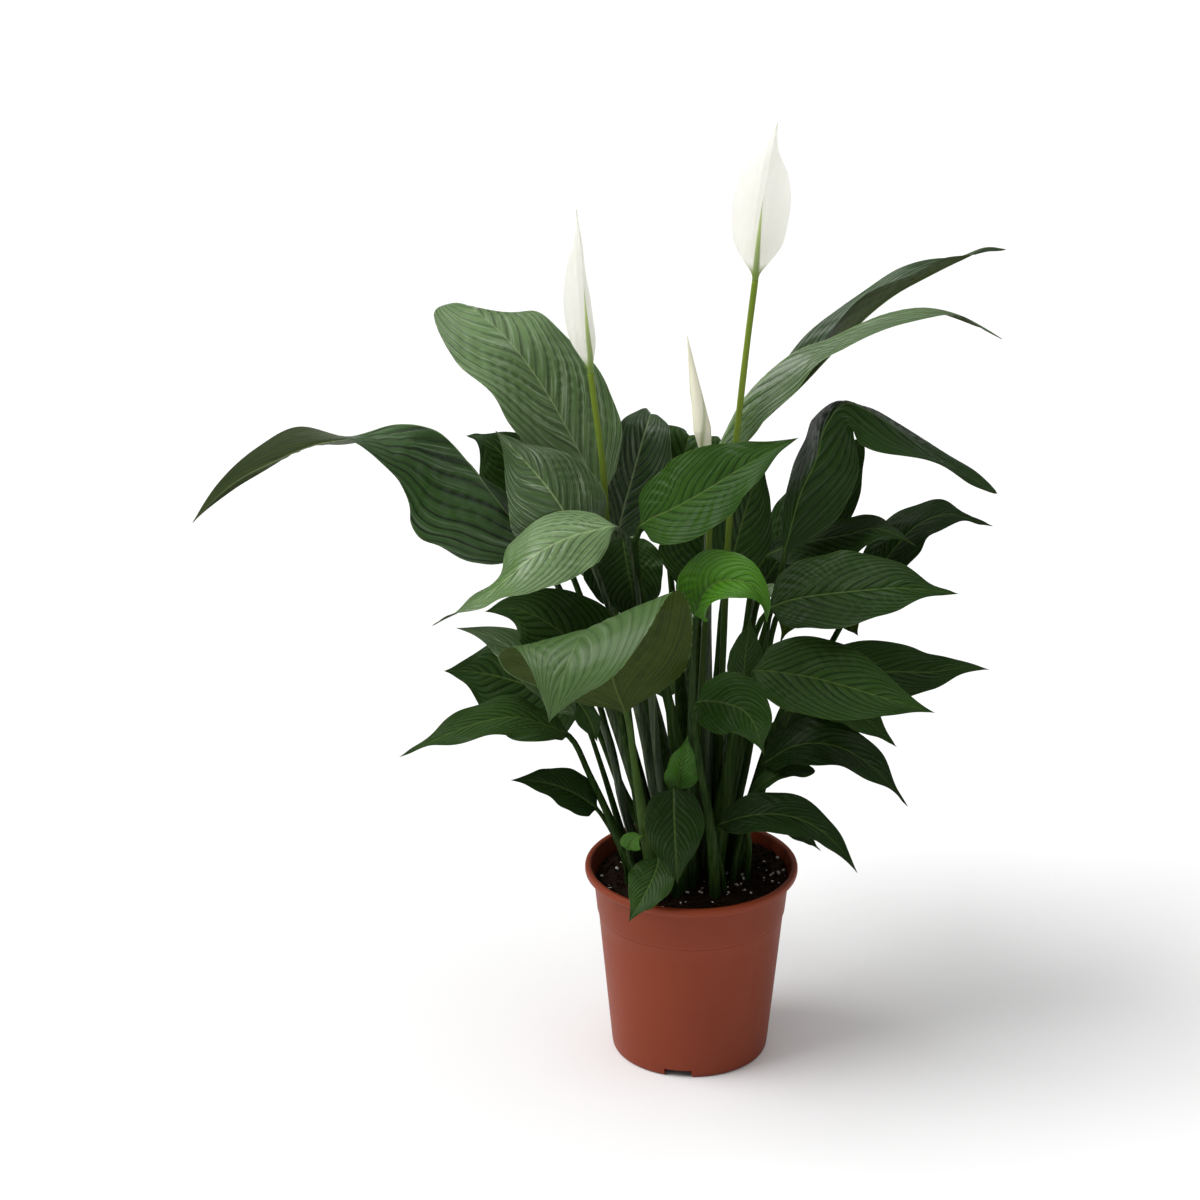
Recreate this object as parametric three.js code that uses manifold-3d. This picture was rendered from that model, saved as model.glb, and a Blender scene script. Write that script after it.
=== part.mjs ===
// Potted peace lily: a leafy clump with two open blooms and one rolled bud, standing in potting soil
// in a plain terracotta-coloured plastic nursery pot.
//
// Millimetres. +X is to the right, +Y to the back, +Z up. The origin is the centre of the pot's foot.
import * as THREE from "three";
import { mergeVertices } from "three/addons/utils/BufferGeometryUtils.js";
import Module from "manifold-3d";

const wasm = await Module();
wasm.setup();

// ---------------------------------------------------------------- driving dimensions
const GAP = 0.3; // clearance kept between neighbouring pieces

const POT_SIDES = 48;
const POT_HEIGHT = 161;
const RIM_RADIUS = 85; // outside of the rolled lip
const RIM_DEPTH = 7; // height of the lip
const COLLAR_TOP_RADIUS = 78.5; // under the lip
const COLLAR_FOOT_RADIUS = 75.2;
const COLLAR_STEP = 0.9; // the collar stands this far out from the body
const COLLAR_FOOT_HEIGHT = 122;
const BASE_RADIUS = 62.6;
const BASE_CORNER = 2.4; // rounding between wall and foot
const WALL = 1.7;
const FLOOR = 3;
const NOTCH_COUNT = 3; // drain notches in the edge of the foot
const NOTCH_WIDTH = 22;
const NOTCH_HEIGHT = 4.5;
const NOTCH_REACH = 13; // how far a notch runs in from the wall
const NOTCH_ANGLE = -100; // degrees, the first notch, from +X

const SOIL_HEIGHT = 151; // mean height of the soil's surface
const SOIL_RELIEF = 7; // how far the surface may lie from that
const SOIL_SPOKES = 28;
const SOIL_RINGS = 5;
const HOLE_DEPTH = 26; // how far a stem stands in the soil
const HOLE_SIDES = 6;
const STEM_CLEARANCE = 0.45; // between a stem and the wall of its hole
const FOOT_SPACE = 2.4; // least space between two stems in the soil
const STEM_SPACE = 1.3; // and above it
const COLLAR_HEIGHT = SOIL_HEIGHT + 12; // a stem is straight up to here

const BLADE_THICKNESS = 1;
const STALK_TOP_RADIUS = 2.2; // where a stalk meets its blade
const STALK_FOOT_RADIUS = 3.6; // at the soil, where the sheath widens it
const SMALL_LEAF = 40; // a leaf narrower than this
const SMALL_STALK = 0.75; // has a stalk this much thinner

const LEAF_GREEN = 0x2a4a2a;
const YOUNG_GREEN = 0x4f8a2c;
const SCAPE_GREEN = 0x7f9a45;
const SPATHE_WHITE = 0xf2f1ea;
const BUD_CREAM = 0xe9e6c8;
const SPADIX_CREAM = 0xe6dfb4;
const SOIL_BROWN = 0x1c130c;
const TERRACOTTA = 0x8f4a34;
const SHEEN = { leaf: 0.35, scape: 0.5, spathe: 0.55, spadix: 0.7, soil: 0.95, pot: 0.45 }; // roughness

const UP = new THREE.Vector3(0, 0, 1);
const FRONT = new THREE.Vector3(0.2, -1, 0); // reference for the round stems

// ---------------------------------------------------------------- the leaves
// foot: where the stalk stands on the soil (x, y).
// spine: the midrib from the blade's base to its tip, after any points that the stalk passes (via).
// width: the blade across its widest place. face: where its upper side looks, at even steps along it.
// fold: the V of the two halves in radians (positive lifts the margins), one value or even steps too.
// wave: height of the margin's waves. detail: how finely the blade is divided.
// right: where the right half is narrower than the left, as shares at even steps.
const LEAVES = {
  left: [
    { // the longest one, rolled over so that its end shows the underside
      foot: [-24, -6], width: 126, widest: 0.3, wave: 3, detail: 3,
      fold: [-0.5, -0.6, -0.7, -0.8, -0.85, -0.85, -0.8, 0.1, 0.35, 0.4, 0.4, 0.35, 0.3],
      spine: [[-113, -6, 418], [-127, -8, 441], [-145, -10, 465], [-162, -14, 491], [-179, -18, 516],
        [-200, -22, 537], [-225, -26, 542], [-252, -30, 535], [-289, -32, 528], [-322, -34, 514],
        [-356, -36, 494], [-383, -38, 466]],
      face: [[0.5, -0.7, 0.4], [0.2, -0.5, 0.88], [0, 0.05, 0.98], [-0.2, 0.75, 0.65], [-0.5, 0.55, 0.5]],
    },
    { // broad, tall, its end rolled away to the back
      foot: [-18, 12], width: 96, widest: 0.42, fold: [0.25, 0.2, -0.25, -0.4], wave: 2, detail: 3,
      spine: [[-70, 40, 451], [-92, 46, 499], [-118, 54, 545], [-143, 62, 578], [-161, 74, 592],
        [-177, 92, 597], [-188, 114, 592], [-193, 136, 570], [-189, 150, 543]],
      face: [[0.6, -0.75, 0.3], [0.6, -0.7, 0.4], [0.45, -0.6, 0.6], [-0.1, 0.1, 0.9]],
    },
    {
      foot: [-28, 26], width: 76, fold: 0.1, wave: 2, detail: 2,
      spine: [[-105, 60, 410], [-133, 74, 456], [-160, 86, 487], [-179, 98, 488]],
      face: [[0.1, -0.85, 0.5], [0, -0.8, 0.6], [-0.2, -0.6, 0.8]],
    },
    {
      foot: [-14, -4], width: 80, fold: -0.3, wave: 2, detail: 2,
      spine: [[-79, -30, 431], [-99, -26, 469], [-117, -20, 494], [-134, -12, 511], [-153, -4, 529]],
      face: [[0.4, -0.8, 0.4], [0.15, -0.85, 0.45], [0, -0.8, 0.6]],
    },
    { // arches out of the heart and hangs to the left
      foot: [-16, -20], width: 60, fold: [-0.1, -0.2, -0.1, 0.3], wave: 1.5, detail: 3,
      spine: [[-59, -36, 460], [-81, -46, 463], [-103, -56, 459], [-124, -66, 450], [-142, -74, 436],
        [-167, -80, 419], [-200, -84, 401]],
      face: [[0.1, -0.6, 0.8], [-0.2, -0.65, 0.75], [-0.5, -0.1, 0.85], [-0.5, 0.3, 0.8]],
    },
    {
      foot: [-32, -14], width: 72, fold: 0.1, wave: 2, detail: 2,
      spine: [[-64, -48, 328], [-87, -44, 363], [-113, -38, 384], [-139, -34, 395], [-162, -30, 390]],
      face: [[0.3, -0.9, 0.3], [0, -0.95, 0.3], [0, -0.9, 0.4]],
    },
    {
      foot: [-40, -4], width: 44, fold: 0.3, wave: 1.5, detail: 1,
      spine: [[-76, -8, 293], [-104, -6, 314], [-135, -2, 342], [-160, 4, 356], [-186, 10, 360]],
      face: [[0.3, -0.6, 0.7], [0.2, -0.6, 0.8], [0, -0.6, 0.8]],
    },
    {
      foot: [-42, 12], width: 88, fold: 0.15, wave: 2, detail: 2,
      spine: [[-82, 16, 304], [-116, 22, 302], [-144, 28, 308], [-172, 32, 313], [-197, 34, 313]],
      face: [[0, -0.85, 0.5], [0, -0.85, 0.5], [0, -0.85, 0.5]],
    },
    {
      foot: [-44, -24], width: 40, fold: 0.15, wave: 1.5, detail: 2,
      via: [[-73, -26, 228]],
      spine: [[-96, -30, 284], [-116, -38, 299], [-143, -48, 310], [-173, -56, 306], [-204, -62, 295],
        [-228, -66, 284]],
      face: [[0, -0.35, 0.93], [-0.1, -0.4, 0.9], [-0.3, -0.5, 0.8]],
    },
    {
      foot: [-50, -14], width: 34, fold: 0.2, wave: 1, detail: 1,
      spine: [[-75, -26, 220], [-95, -34, 239], [-120, -40, 251], [-143, -44, 254]],
      face: [[-0.1, -0.6, 0.8], [-0.1, -0.6, 0.8], [-0.1, -0.6, 0.8]],
    },
    { // small, hanging among the left stalks
      foot: [-48, -8], width: 18, fold: 0.3, wave: 0.5, detail: 1,
      via: [[-88, -20, 307]],
      spine: [[-89, -28, 312], [-81, -34, 300], [-75, -38, 284]],
      face: [[-0.5, -0.5, 0.6], [-0.3, -0.8, 0.5], [0, -1, 0.2]],
    },
  ],
  front: [
    { // bright young leaf in the heart, reaching to the right
      foot: [2, -18], width: 66, fold: 0.25, wave: 1.5, detail: 2, young: true,
      spine: [[-43, -36, 460], [-13, -52, 486], [17, -62, 509], [48, -68, 532], [75, -70, 547]],
      face: [[-0.3, -0.7, 0.6], [-0.25, -0.75, 0.6], [-0.2, -0.75, 0.65]],
    },
    { // very broad, rises with its underside to the front and folds over forwards
      foot: [-30, -36], width: 150, widest: 0.5, fold: 0.1, wave: 2, detail: 3,
      via: [[-45, -54, 262]],
      spine: [[-52, -68, 319], [-60, -72, 343], [-68, -82, 374], [-82, -104, 407], [-92, -136, 405],
        [-104, -152, 378], [-111, -158, 354]],
      face: [[0.2, 0.95, 0.15], [-0.42, 0.1, 0.92], [-0.1, -0.95, 0.35]],
    },
    { // small, hanging in front of the stalks
      foot: [-12, -42], width: 44, fold: 0.15, wave: 1, detail: 1,
      spine: [[-16, -62, 256], [-16, -76, 244], [-15, -86, 222], [-13, -92, 187]],
      face: [[0, -0.6, 0.8], [0, -0.9, 0.4], [0, -0.95, 0.3]],
    },
    {
      foot: [-6, -32], width: 30, fold: 0.5, wave: 1, detail: 1, young: true,
      spine: [[-12, -48, 247], [-10, -49, 270], [-5, -50, 295]],
      face: [[0.2, -0.9, 0.2], [0.2, -0.9, 0.2], [0.2, -0.9, 0.2]],
    },
    { // drops over the rim
      foot: [-26, -48], width: 36, fold: 0.2, wave: 1, detail: 1,
      spine: [[-27, -58, 194], [-30, -73, 189], [-39, -86, 174], [-51, -96, 157]],
      face: [[-0.2, -0.5, 0.8], [-0.3, -0.8, 0.5], [-0.3, -0.8, 0.5]],
    },
    {
      foot: [-42, -40], width: 16, fold: 0.2, wave: 0.5, detail: 1, young: true,
      spine: [[-51, -48, 196], [-45, -52, 208], [-39, -54, 211]],
      face: [[0, -0.9, 0.4], [0, -0.9, 0.4], [0, -0.9, 0.4]],
    },
    { // rounded, hanging at the centre right
      foot: [18, -42], width: 48, fold: 0.15, wave: 1.5, detail: 2,
      spine: [[1, -70, 330], [18, -84, 338], [39, -94, 333], [52, -98, 300]],
      face: [[0.1, -0.7, 0.7], [0.1, -0.85, 0.5], [0.4, -0.85, 0.3]],
    },
    { // bright young leaf, still boat-shaped at its base
      foot: [-2, -26], width: 50, fold: 0.5, wave: 1, detail: 2, young: true,
      spine: [[0, -52, 394], [8, -66, 424], [28, -88, 440], [47, -98, 434], [52, -104, 411]],
      face: [[-0.3, -0.6, 0.5], [-0.1, -0.8, 0.6], [0.4, -0.8, 0.4]],
    },
    {
      foot: [-8, -12], width: 54, fold: 0.2, wave: 1.5, detail: 2,
      via: [[-50, 24, 380]],
      spine: [[-56, 6, 438], [-52, -8, 419], [-48, -16, 401], [-46, -18, 377]],
      face: [[0, -0.7, 0.7], [0, -0.95, 0.3], [0, -0.95, 0.3]],
    },
    {
      foot: [20, -18], width: 28, fold: 0.3, wave: 1, detail: 1,
      spine: [[38, -20, 320], [40, -22, 355], [43, -24, 384]],
      face: [[0.1, -0.95, 0.2], [0.1, -0.95, 0.2], [0.1, -0.95, 0.2]],
    },
  ],
  right: [
    {
      foot: [24, -34], width: 38, fold: 0.2, wave: 1.5, detail: 2,
      spine: [[19, -40, 211], [48, -52, 228], [77, -60, 230], [106, -66, 215], [128, -70, 186]],
      face: [[-0.2, -0.5, 0.85], [0, -0.5, 0.85], [0.3, -0.5, 0.8]],
    },
    {
      foot: [32, -20], width: 22, fold: 0.2, wave: 0.5, detail: 1,
      spine: [[53, -18, 212], [77, -22, 204], [102, -26, 184]],
      face: [[0, -0.4, 0.9], [0, -0.4, 0.9], [0.2, -0.4, 0.9]],
    },
    {
      foot: [34, -6], width: 48, fold: 0.2, wave: 1.5, detail: 2,
      spine: [[55, -12, 250], [84, -20, 274], [119, -26, 272], [146, -30, 253], [169, -34, 226]],
      face: [[0, -0.4, 0.9], [0, -0.4, 0.9], [0.3, -0.4, 0.9]],
    },
    {
      foot: [40, 16], width: 34, fold: 0.2, wave: 1, detail: 1,
      spine: [[58, 20, 242], [78, 26, 260], [100, 30, 268], [121, 32, 262]],
      face: [[0, -0.6, 0.8], [0, -0.6, 0.8], [0, -0.6, 0.8]],
    },
    {
      foot: [44, -16], width: 14, fold: 0.2, wave: 0.5, detail: 1,
      spine: [[44, -23, 230], [70, -24, 251], [96, -23, 252]],
      face: [[-0.3, -0.2, 0.9], [0, -0.2, 1], [0, -0.2, 1]],
    },
    {
      foot: [16, -28], width: 64, fold: 0.15, wave: 2, detail: 2,
      spine: [[43, -34, 340], [69, -44, 345], [100, -54, 343], [135, -62, 335], [184, -68, 322]],
      face: [[-0.1, -0.7, 0.7], [0, -0.7, 0.7], [0.2, -0.7, 0.7]],
    },
    {
      foot: [28, 2], width: 50, fold: 0.2, wave: 2, detail: 2,
      spine: [[81, 12, 306], [116, 16, 316], [154, 18, 319], [190, 20, 318], [215, 20, 322], [234, 18, 321]],
      face: [[0, -0.75, 0.65], [0, -0.75, 0.65], [0, -0.75, 0.65]],
    },
    {
      foot: [36, 4], width: 36, fold: 0.2, wave: 1, detail: 1,
      spine: [[84, 6, 297], [113, 4, 298], [138, 0, 284], [161, -4, 264]],
      face: [[0, -0.5, 0.85], [0, -0.5, 0.85], [0, -0.5, 0.85]],
    },
    {
      foot: [14, -8], width: 68, fold: 0.2, wave: 2, detail: 2,
      spine: [[57, -6, 380], [81, -14, 395], [115, -22, 403], [156, -28, 409], [202, -32, 406]],
      face: [[-0.1, -0.6, 0.8], [0, -0.6, 0.8], [0, -0.6, 0.8]],
    },
    { // tent-like, its middle higher than both ends
      foot: [18, 8], width: 46, fold: -0.15, wave: 2, detail: 2,
      spine: [[57, 40, 406], [84, 42, 419], [115, 40, 425], [138, 30, 436], [159, 16, 435], [173, 8, 429]],
      face: [[-0.1, -0.3, 0.95], [0.1, -0.5, 0.85], [0.6, -0.6, 0.5]],
    },
    {
      foot: [34, 26], width: 44, fold: 0.15, wave: 2, detail: 2,
      spine: [[135, 70, 366], [156, 76, 394], [177, 82, 417], [201, 86, 426], [221, 88, 421], [240, 88, 415]],
      face: [[-0.4, -0.6, 0.6], [-0.2, -0.4, 0.9], [0.1, -0.4, 0.9]],
    },
    {
      foot: [28, 14], width: 50, fold: 0.1, wave: 1, detail: 1,
      spine: [[77, 40, 371], [109, 44, 366], [132, 46, 338]],
      face: [[0, 0.7, 0.7], [0, 0.7, 0.7], [0, 0.7, 0.7]],
    },
    {
      foot: [20, -2], width: 26, fold: 0.2, wave: 1, detail: 1,
      via: [[58, 26, 340]],
      spine: [[67, 28, 386], [74, 22, 396], [76, 14, 374], [68, 6, 349]],
      face: [[-0.5, 0.3, 0.8], [0.5, 0.5, 0.7], [0.5, 0.8, 0.3], [0.5, 0.8, 0.3]],
    },
    { // long, narrow, folded nearly shut
      foot: [8, 20], width: 44, fold: 0.85, wave: 1.5, detail: 3,
      spine: [[21, 66, 470], [45, 70, 503], [75, 74, 530], [107, 80, 563], [130, 86, 587],
        [152, 92, 604], [175, 96, 617], [198, 100, 626], [218, 104, 637], [243, 108, 638]],
      face: [[-0.6, -0.2, 0.8], [-0.5, 0, 0.9], [-0.4, 0.1, 0.9], [-0.4, 0.2, 0.9]],
    },
    { // near half hanging at first, then the blade lies nearly flat
      foot: [10, 6], width: 46, fold: [-0.6, -0.6, -0.3, -0.3, -0.3], widest: 0.3, wave: 2, detail: 3,
      spine: [[13, 24, 484], [22, 26, 512], [37, 30, 541], [56, 34, 562], [77, 38, 578], [105, 42, 588],
        [134, 46, 601], [161, 50, 608], [188, 54, 607], [213, 56, 597], [238, 58, 581]],
      face: [[-0.7, -0.5, 0.5], [-0.6, -0.3, 0.8], [-0.3, 0.1, 0.95], [0, 0.12, 0.98], [0.3, 0.1, 0.95]],
    },
    { // large and dark, rises steeply and turns over to the right
      foot: [16, -4], width: 84, fold: [-0.4, -0.6, -0.8, -0.4, 0.1, 0.1], wave: 1, detail: 3,
      right: [1, 0.9, 0.6, 0.7, 0.9, 1],
      spine: [[70, 16, 415], [80, 16, 465], [92, 16, 494], [98, 18, 514], [103, 22, 530], [113, 26, 540],
        [129, 28, 535], [148, 28, 524], [168, 26, 510], [186, 24, 498], [209, 22, 484], [234, 18, 469]],
      face: [[-0.7, -0.7, 0], [-0.6, -0.7, 0.2], [-0.1, -0.3, 0.95], [0.1, 0.05, 0.97], [0.3, -0.1, 0.9]],
    },
    {
      foot: [24, 32], width: 54, fold: -0.1, wave: 2, detail: 2,
      spine: [[56, 64, 373], [73, 68, 403], [94, 74, 438], [114, 80, 466], [133, 86, 489]],
      face: [[-0.4, -0.8, 0.5], [-0.4, -0.8, 0.5], [-0.4, -0.7, 0.6]],
    },
  ],
  back: [
    {
      foot: [-10, 24], width: 60, fold: 0.3, wave: 2, detail: 2,
      spine: [[-59, 66, 408], [-48, 84, 456], [-37, 96, 493], [-33, 116, 501], [-31, 132, 485]],
      face: [[0.2, -1, 0.1], [0, -0.95, 0.3], [0.1, -0.4, 0.9]],
    },
    {
      foot: [0, 30], width: 64, fold: 0.3, wave: 2, detail: 2,
      spine: [[-18, 94, 418], [-9, 110, 454], [-2, 124, 478], [0, 149, 465]],
      face: [[0, -1, 0.1], [0, -0.95, 0.3], [0.1, -0.4, 0.9]],
    },
    {
      foot: [14, 16], width: 42, fold: 0.2, wave: 2, detail: 2,
      spine: [[24, 44, 368], [33, 48, 412], [46, 54, 460], [56, 60, 492]],
      face: [[0, -0.9, 0.3], [0, -0.9, 0.4], [0, -0.9, 0.4]],
    },
    {
      foot: [4, 12], width: 52, fold: 0.2, wave: 1.5, detail: 2,
      spine: [[6, 56, 365], [10, 66, 412], [15, 76, 459]],
      face: [[0, -0.9, 0.3], [0, -0.9, 0.4], [0, -0.9, 0.4]],
    },
    {
      foot: [-20, 40], width: 70, fold: 0.2, wave: 2, detail: 2,
      spine: [[-60, 110, 350], [-85, 160, 385], [-105, 205, 385], [-118, 245, 350]],
      face: [[0.1, -0.5, 0.85], [0, 0, 1], [0, 0.4, 0.9]],
    },
    {
      foot: [-2, 44], width: 76, fold: 0.2, wave: 2, detail: 2,
      spine: [[0, 115, 385], [6, 160, 425], [14, 210, 430], [22, 260, 395]],
      face: [[0, -0.5, 0.85], [0, 0, 1], [0, 0.4, 0.9]],
    },
    {
      foot: [14, 40], width: 68, fold: 0.2, wave: 2, detail: 2,
      spine: [[50, 105, 340], [80, 150, 370], [108, 195, 365], [132, 235, 325]],
      face: [[-0.2, -0.5, 0.85], [0, 0, 1], [0.2, 0.4, 0.9]],
    },
    {
      foot: [-34, 36], width: 56, fold: 0.2, wave: 2, detail: 2,
      spine: [[-90, 85, 270], [-125, 115, 290], [-160, 140, 285], [-190, 160, 255]],
      face: [[0.2, -0.3, 0.95], [0, 0, 1], [-0.3, 0.2, 0.9]],
    },
    {
      foot: [-8, 52], width: 54, fold: 0.2, wave: 1.5, detail: 2,
      spine: [[-18, 105, 255], [-24, 145, 275], [-30, 185, 265], [-34, 215, 230]],
      face: [[0, -0.3, 0.95], [0, 0, 1], [0, 0.3, 0.9]],
    },
    {
      foot: [34, 40], width: 56, fold: 0.2, wave: 1.5, detail: 2,
      spine: [[75, 85, 250], [108, 112, 268], [142, 138, 258], [168, 158, 225]],
      face: [[-0.2, -0.3, 0.95], [0, 0, 1], [0.2, 0.3, 0.9]],
    },
  ],
};

// ---------------------------------------------------------------- the flowers
const SCAPE_FOOT_RADIUS = 3.2;
const SCAPE_TOP_RADIUS = 2.7;
const FLOWERS = [
  { // narrow spathe, half closed
    foot: [-36, 14], scape: [[-66, 18, 420], [-71, 20, 493], [-81, 22, 566]],
    spathe: [[-81, 20, 594], [-83, 20, 625], [-86, 20, 662], [-91, 20, 697]],
    width: 32, fold: [0.2, 0.75, 0.95, 0.95], face: [-0.5, 0.85, 0.1],
    spadix: { length: 40, radius: 3, lean: 10 },
  },
  { // open spathe
    foot: [20, 16], scape: [[27, 12, 447], [35, 12, 556], [44, 13, 643]],
    spathe: [[45, 7, 666], [48, 2, 705], [53, -1, 740], [58, 0, 769]],
    width: 48, fold: [0.2, 0.45, 0.5, 0.4], face: [0.05, 1, 0.1],
    spadix: { length: 50, radius: 4.6, lean: 11 },
  },
];
const BUD = { foot: [0, 4], scape: [[10, -2, 400], [12, -10, 499]], tip: [-8, -12, 610], radius: 6.2 };

// ---------------------------------------------------------------- shared helpers
const CURVE_STEPS = 20; // steps between two points of a curve, for measuring its length
const vec = (p) => new THREE.Vector3(...p);
const radians = THREE.MathUtils.degToRad;
const mix = THREE.MathUtils.lerp;
const smooth = (x, from, to) => THREE.MathUtils.smoothstep(x, from, to);

// A closed mesh as a manifold-3d solid, and back.
function toSolid(geometry) {
  const bare = geometry.clone();
  bare.deleteAttribute("normal");
  bare.deleteAttribute("uv");
  const merged = mergeVertices(bare, 1e-4);
  return new wasm.Manifold(new wasm.Mesh({
    numProp: 3,
    vertProperties: merged.attributes.position.array,
    triVerts: new Uint32Array(merged.index.array),
  }));
}

function toGeometry(solid) {
  const mesh = solid.getMesh();
  const geometry = new THREE.BufferGeometry();
  geometry.setAttribute("position", new THREE.BufferAttribute(mesh.vertProperties, 3));
  geometry.setIndex(new THREE.BufferAttribute(mesh.triVerts, 1));
  return geometry;
}

// Closes a stack of rings, all with the same number of points, with a fan at each end.
function skin(rings, foot, tip) {
  const count = rings[0].length;
  const points = [foot, ...rings.flat(), tip];
  const at = (ring, i) => 1 + ring * count + (i % count);
  const last = rings.length - 1;
  const span = (r, p, q) => points[at(r, p)].distanceTo(points[at(r + 1, q)]);
  // Both faces of a blade are split along the same diagonal, the shorter one.
  const leansBack = (r, i) => {
    const under = count - 2 - i;
    return span(r, i + 1, i) + span(r, under, under + 1) < span(r, i, i + 1) + span(r, under + 1, under);
  };
  const faces = [];
  for (let i = 0; i < count; i++) {
    faces.push(0, at(0, i + 1), at(0, i));
    faces.push(points.length - 1, at(last, i), at(last, i + 1));
    for (let r = 0; r < last; r++) {
      const [a, b, c, d] = [at(r, i), at(r, i + 1), at(r + 1, i + 1), at(r + 1, i)];
      const over = i < count / 2 || i === count - 1;
      const back = over ? leansBack(r, i % (count - 1)) : !leansBack(r, count - 2 - i);
      if (back) faces.push(a, b, d, b, c, d);
      else faces.push(a, b, c, a, c, d);
    }
  }
  const geometry = new THREE.BufferGeometry();
  geometry.setAttribute("position", new THREE.Float32BufferAttribute(points.flatMap((p) => [...p]), 3));
  geometry.setIndex(faces);
  geometry.computeVertexNormals();
  return geometry;
}

// The curve through all the points, and the share of its length at which point number i lies.
function pathThrough(points) {
  const curve = new THREE.CatmullRomCurve3(points, false, "centripetal");
  curve.arcLengthDivisions = CURVE_STEPS * (points.length - 1);
  const lengths = curve.getLengths();
  const length = lengths.at(-1);
  return { curve, length, shareOf: (i) => lengths[CURVE_STEPS * i] / length };
}

// Axes of a cross-section: along the path, to its side, and towards its upper face.
function frameAt(centre, tangent, face) {
  const up = face.clone().addScaledVector(tangent, -face.dot(tangent)).normalize();
  return { centre, side: tangent.clone().cross(up), up };
}

const sectionAxes = (curve, u, face) => frameAt(curve.getPointAt(u), curve.getTangentAt(u), face);

const placeAll = ({ centre, side, up }, section) =>
  section.map(({ x, y }) => centre.clone().addScaledVector(side, x).addScaledVector(up, y));

// ---------------------------------------------------------------- stems
const COLLAR_LEAN = 0.04; // how far a stem has leant over at the collar
const BOW_LEAN = 0.36; // and halfway up, as shares of its whole lean
const BOWED_ABOVE = SOIL_HEIGHT + 80; // only stalks that reach higher are bowed
const STALK_BENDS = [0.36, 0.72]; // a stalk's inner nodes between its collar and its blade
const SCAPE_BENDS = [0.1, 0.2, 0.3, 0.4, 0.5, 0.6, 0.7, 0.8, 0.9, 1];
const BEND_PASSES = 60;
const LEVEL = 7; // steps in height at which the stems are compared

const startOf = (foot) => new THREE.Vector3(foot[0], foot[1], SOIL_HEIGHT - HOLE_DEPTH + GAP);

// A stem's nodes: its foot, its collar and the bends above it. The last one stays where it is.
function stemNodes(foot, passed, above, bends) {
  const start = startOf(foot);
  const collar = start.clone().lerp(above[0], COLLAR_LEAN).setZ(COLLAR_HEIGHT);
  const points = [start, collar, ...passed, ...above];
  const { curve, shareOf } = pathThrough(points);
  const from = shareOf(1);
  const to = shareOf(bends.at(-1) < 1 ? passed.length + 2 : points.length - 1);
  return [start, collar, ...bends.map((share) => curve.getPointAt(mix(from, to, share)))];
}

function stalkStem({ foot, via, spine, width }) {
  const above = spine.map(vec);
  const start = startOf(foot);
  const bow = start.clone().lerp(above[0], BOW_LEAN).setZ(mix(start.z, above[0].z, 0.5));
  const bowed = above[0].z > BOWED_ABOVE ? [bow] : [];
  const nodes = [...stemNodes(foot, via ? via.map(vec) : bowed, above, STALK_BENDS), above[0]];
  const scale = width < SMALL_LEAF ? SMALL_STALK : 1;
  const radiusAt = (share) => scale * mix(STALK_FOOT_RADIUS, STALK_TOP_RADIUS, share ** 0.7);
  return { nodes, radii: nodes.map((_, i) => radiusAt(i / (nodes.length - 1))) };
}

function scapeStem({ foot, scape }) {
  const nodes = stemNodes(foot, [], scape.map(vec), SCAPE_BENDS);
  const radii = nodes.map((_, i) => mix(SCAPE_FOOT_RADIUS, SCAPE_TOP_RADIUS, i / (nodes.length - 1)));
  return { nodes, radii };
}

// Where a stem is at a height, between which nodes, and how thick it is there.
function cutStem({ nodes, radii }, z) {
  const k = nodes.findIndex((node, i) => i > 0 && node.z > z);
  if (k < 0) return null;
  const [below, above] = [nodes[k - 1], nodes[k]];
  const share = Math.max(0, (z - below.z) / (above.z - below.z));
  return { k, share, at: below.clone().lerp(above, share), radius: mix(radii[k - 1], radii[k], share) };
}

function pushStem({ nodes }, { k, share }, by) {
  const last = nodes.length - 1;
  nodes[k - 1].addScaledVector(by, 1 - share);
  if (k < last) nodes[k].addScaledVector(by, share);
}

// Stems that would cross are bent apart a little, as they are in a grown clump.
function bendClear(stems) {
  const highest = Math.max(...stems.map(({ nodes }) => nodes.at(-1).z));
  for (let pass = 0; pass < BEND_PASSES; pass++) {
    for (let z = stems[0].nodes[0].z + 1; z < highest; z += LEVEL) {
      const space = z < COLLAR_HEIGHT ? FOOT_SPACE : STEM_SPACE;
      for (let i = 0; i < stems.length; i++) {
        for (let j = i + 1; j < stems.length; j++) {
          const one = cutStem(stems[i], z);
          const other = cutStem(stems[j], z);
          if (!one || !other) continue;
          const apart = other.at.clone().sub(one.at).setZ(0);
          const short = one.radius + other.radius + space - apart.length();
          if (short <= 0) continue;
          apart.setLength(short / 2);
          pushStem(stems[j], other, apart);
          pushStem(stems[i], one, apart.negate());
        }
      }
    }
  }
}

// ---------------------------------------------------------------- leaves and spathes
const LANES = [-1, -0.55, 0, 0.55, 1]; // across a blade, from margin to margin
const BLADE_STEPS = { // where a blade's sections lie, by detail
  1: [0.01, 0.09, 0.24, 0.44, 0.66, 0.88],
  2: [0.01, 0.08, 0.2, 0.35, 0.52, 0.7, 0.88],
  3: [0.01, 0.05, 0.12, 0.21, 0.31, 0.41, 0.5, 0.58, 0.67, 0.77, 0.87, 0.95],
};
const WIDEST = 0.4; // usual place of the widest section, as a share of the blade
const ROUNDING = 0.6; // roundness of the blade's base
const SHOULDER = 1.6; // how long the blade stays wide
const TAPER = 1.25; // how fast it then narrows towards its drip tip
const LEAF_WAVES = 3; // waves along a leaf's margin
const LEAF_CURL = 0.06; // how far the margins bend down, as a share of the half-width
const RIB_REACH = 0.77; // the midrib stands out over this share of the blade
const ADVANCE = 0.3; // least step of every lane from section to section, as a share of the rib's
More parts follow.
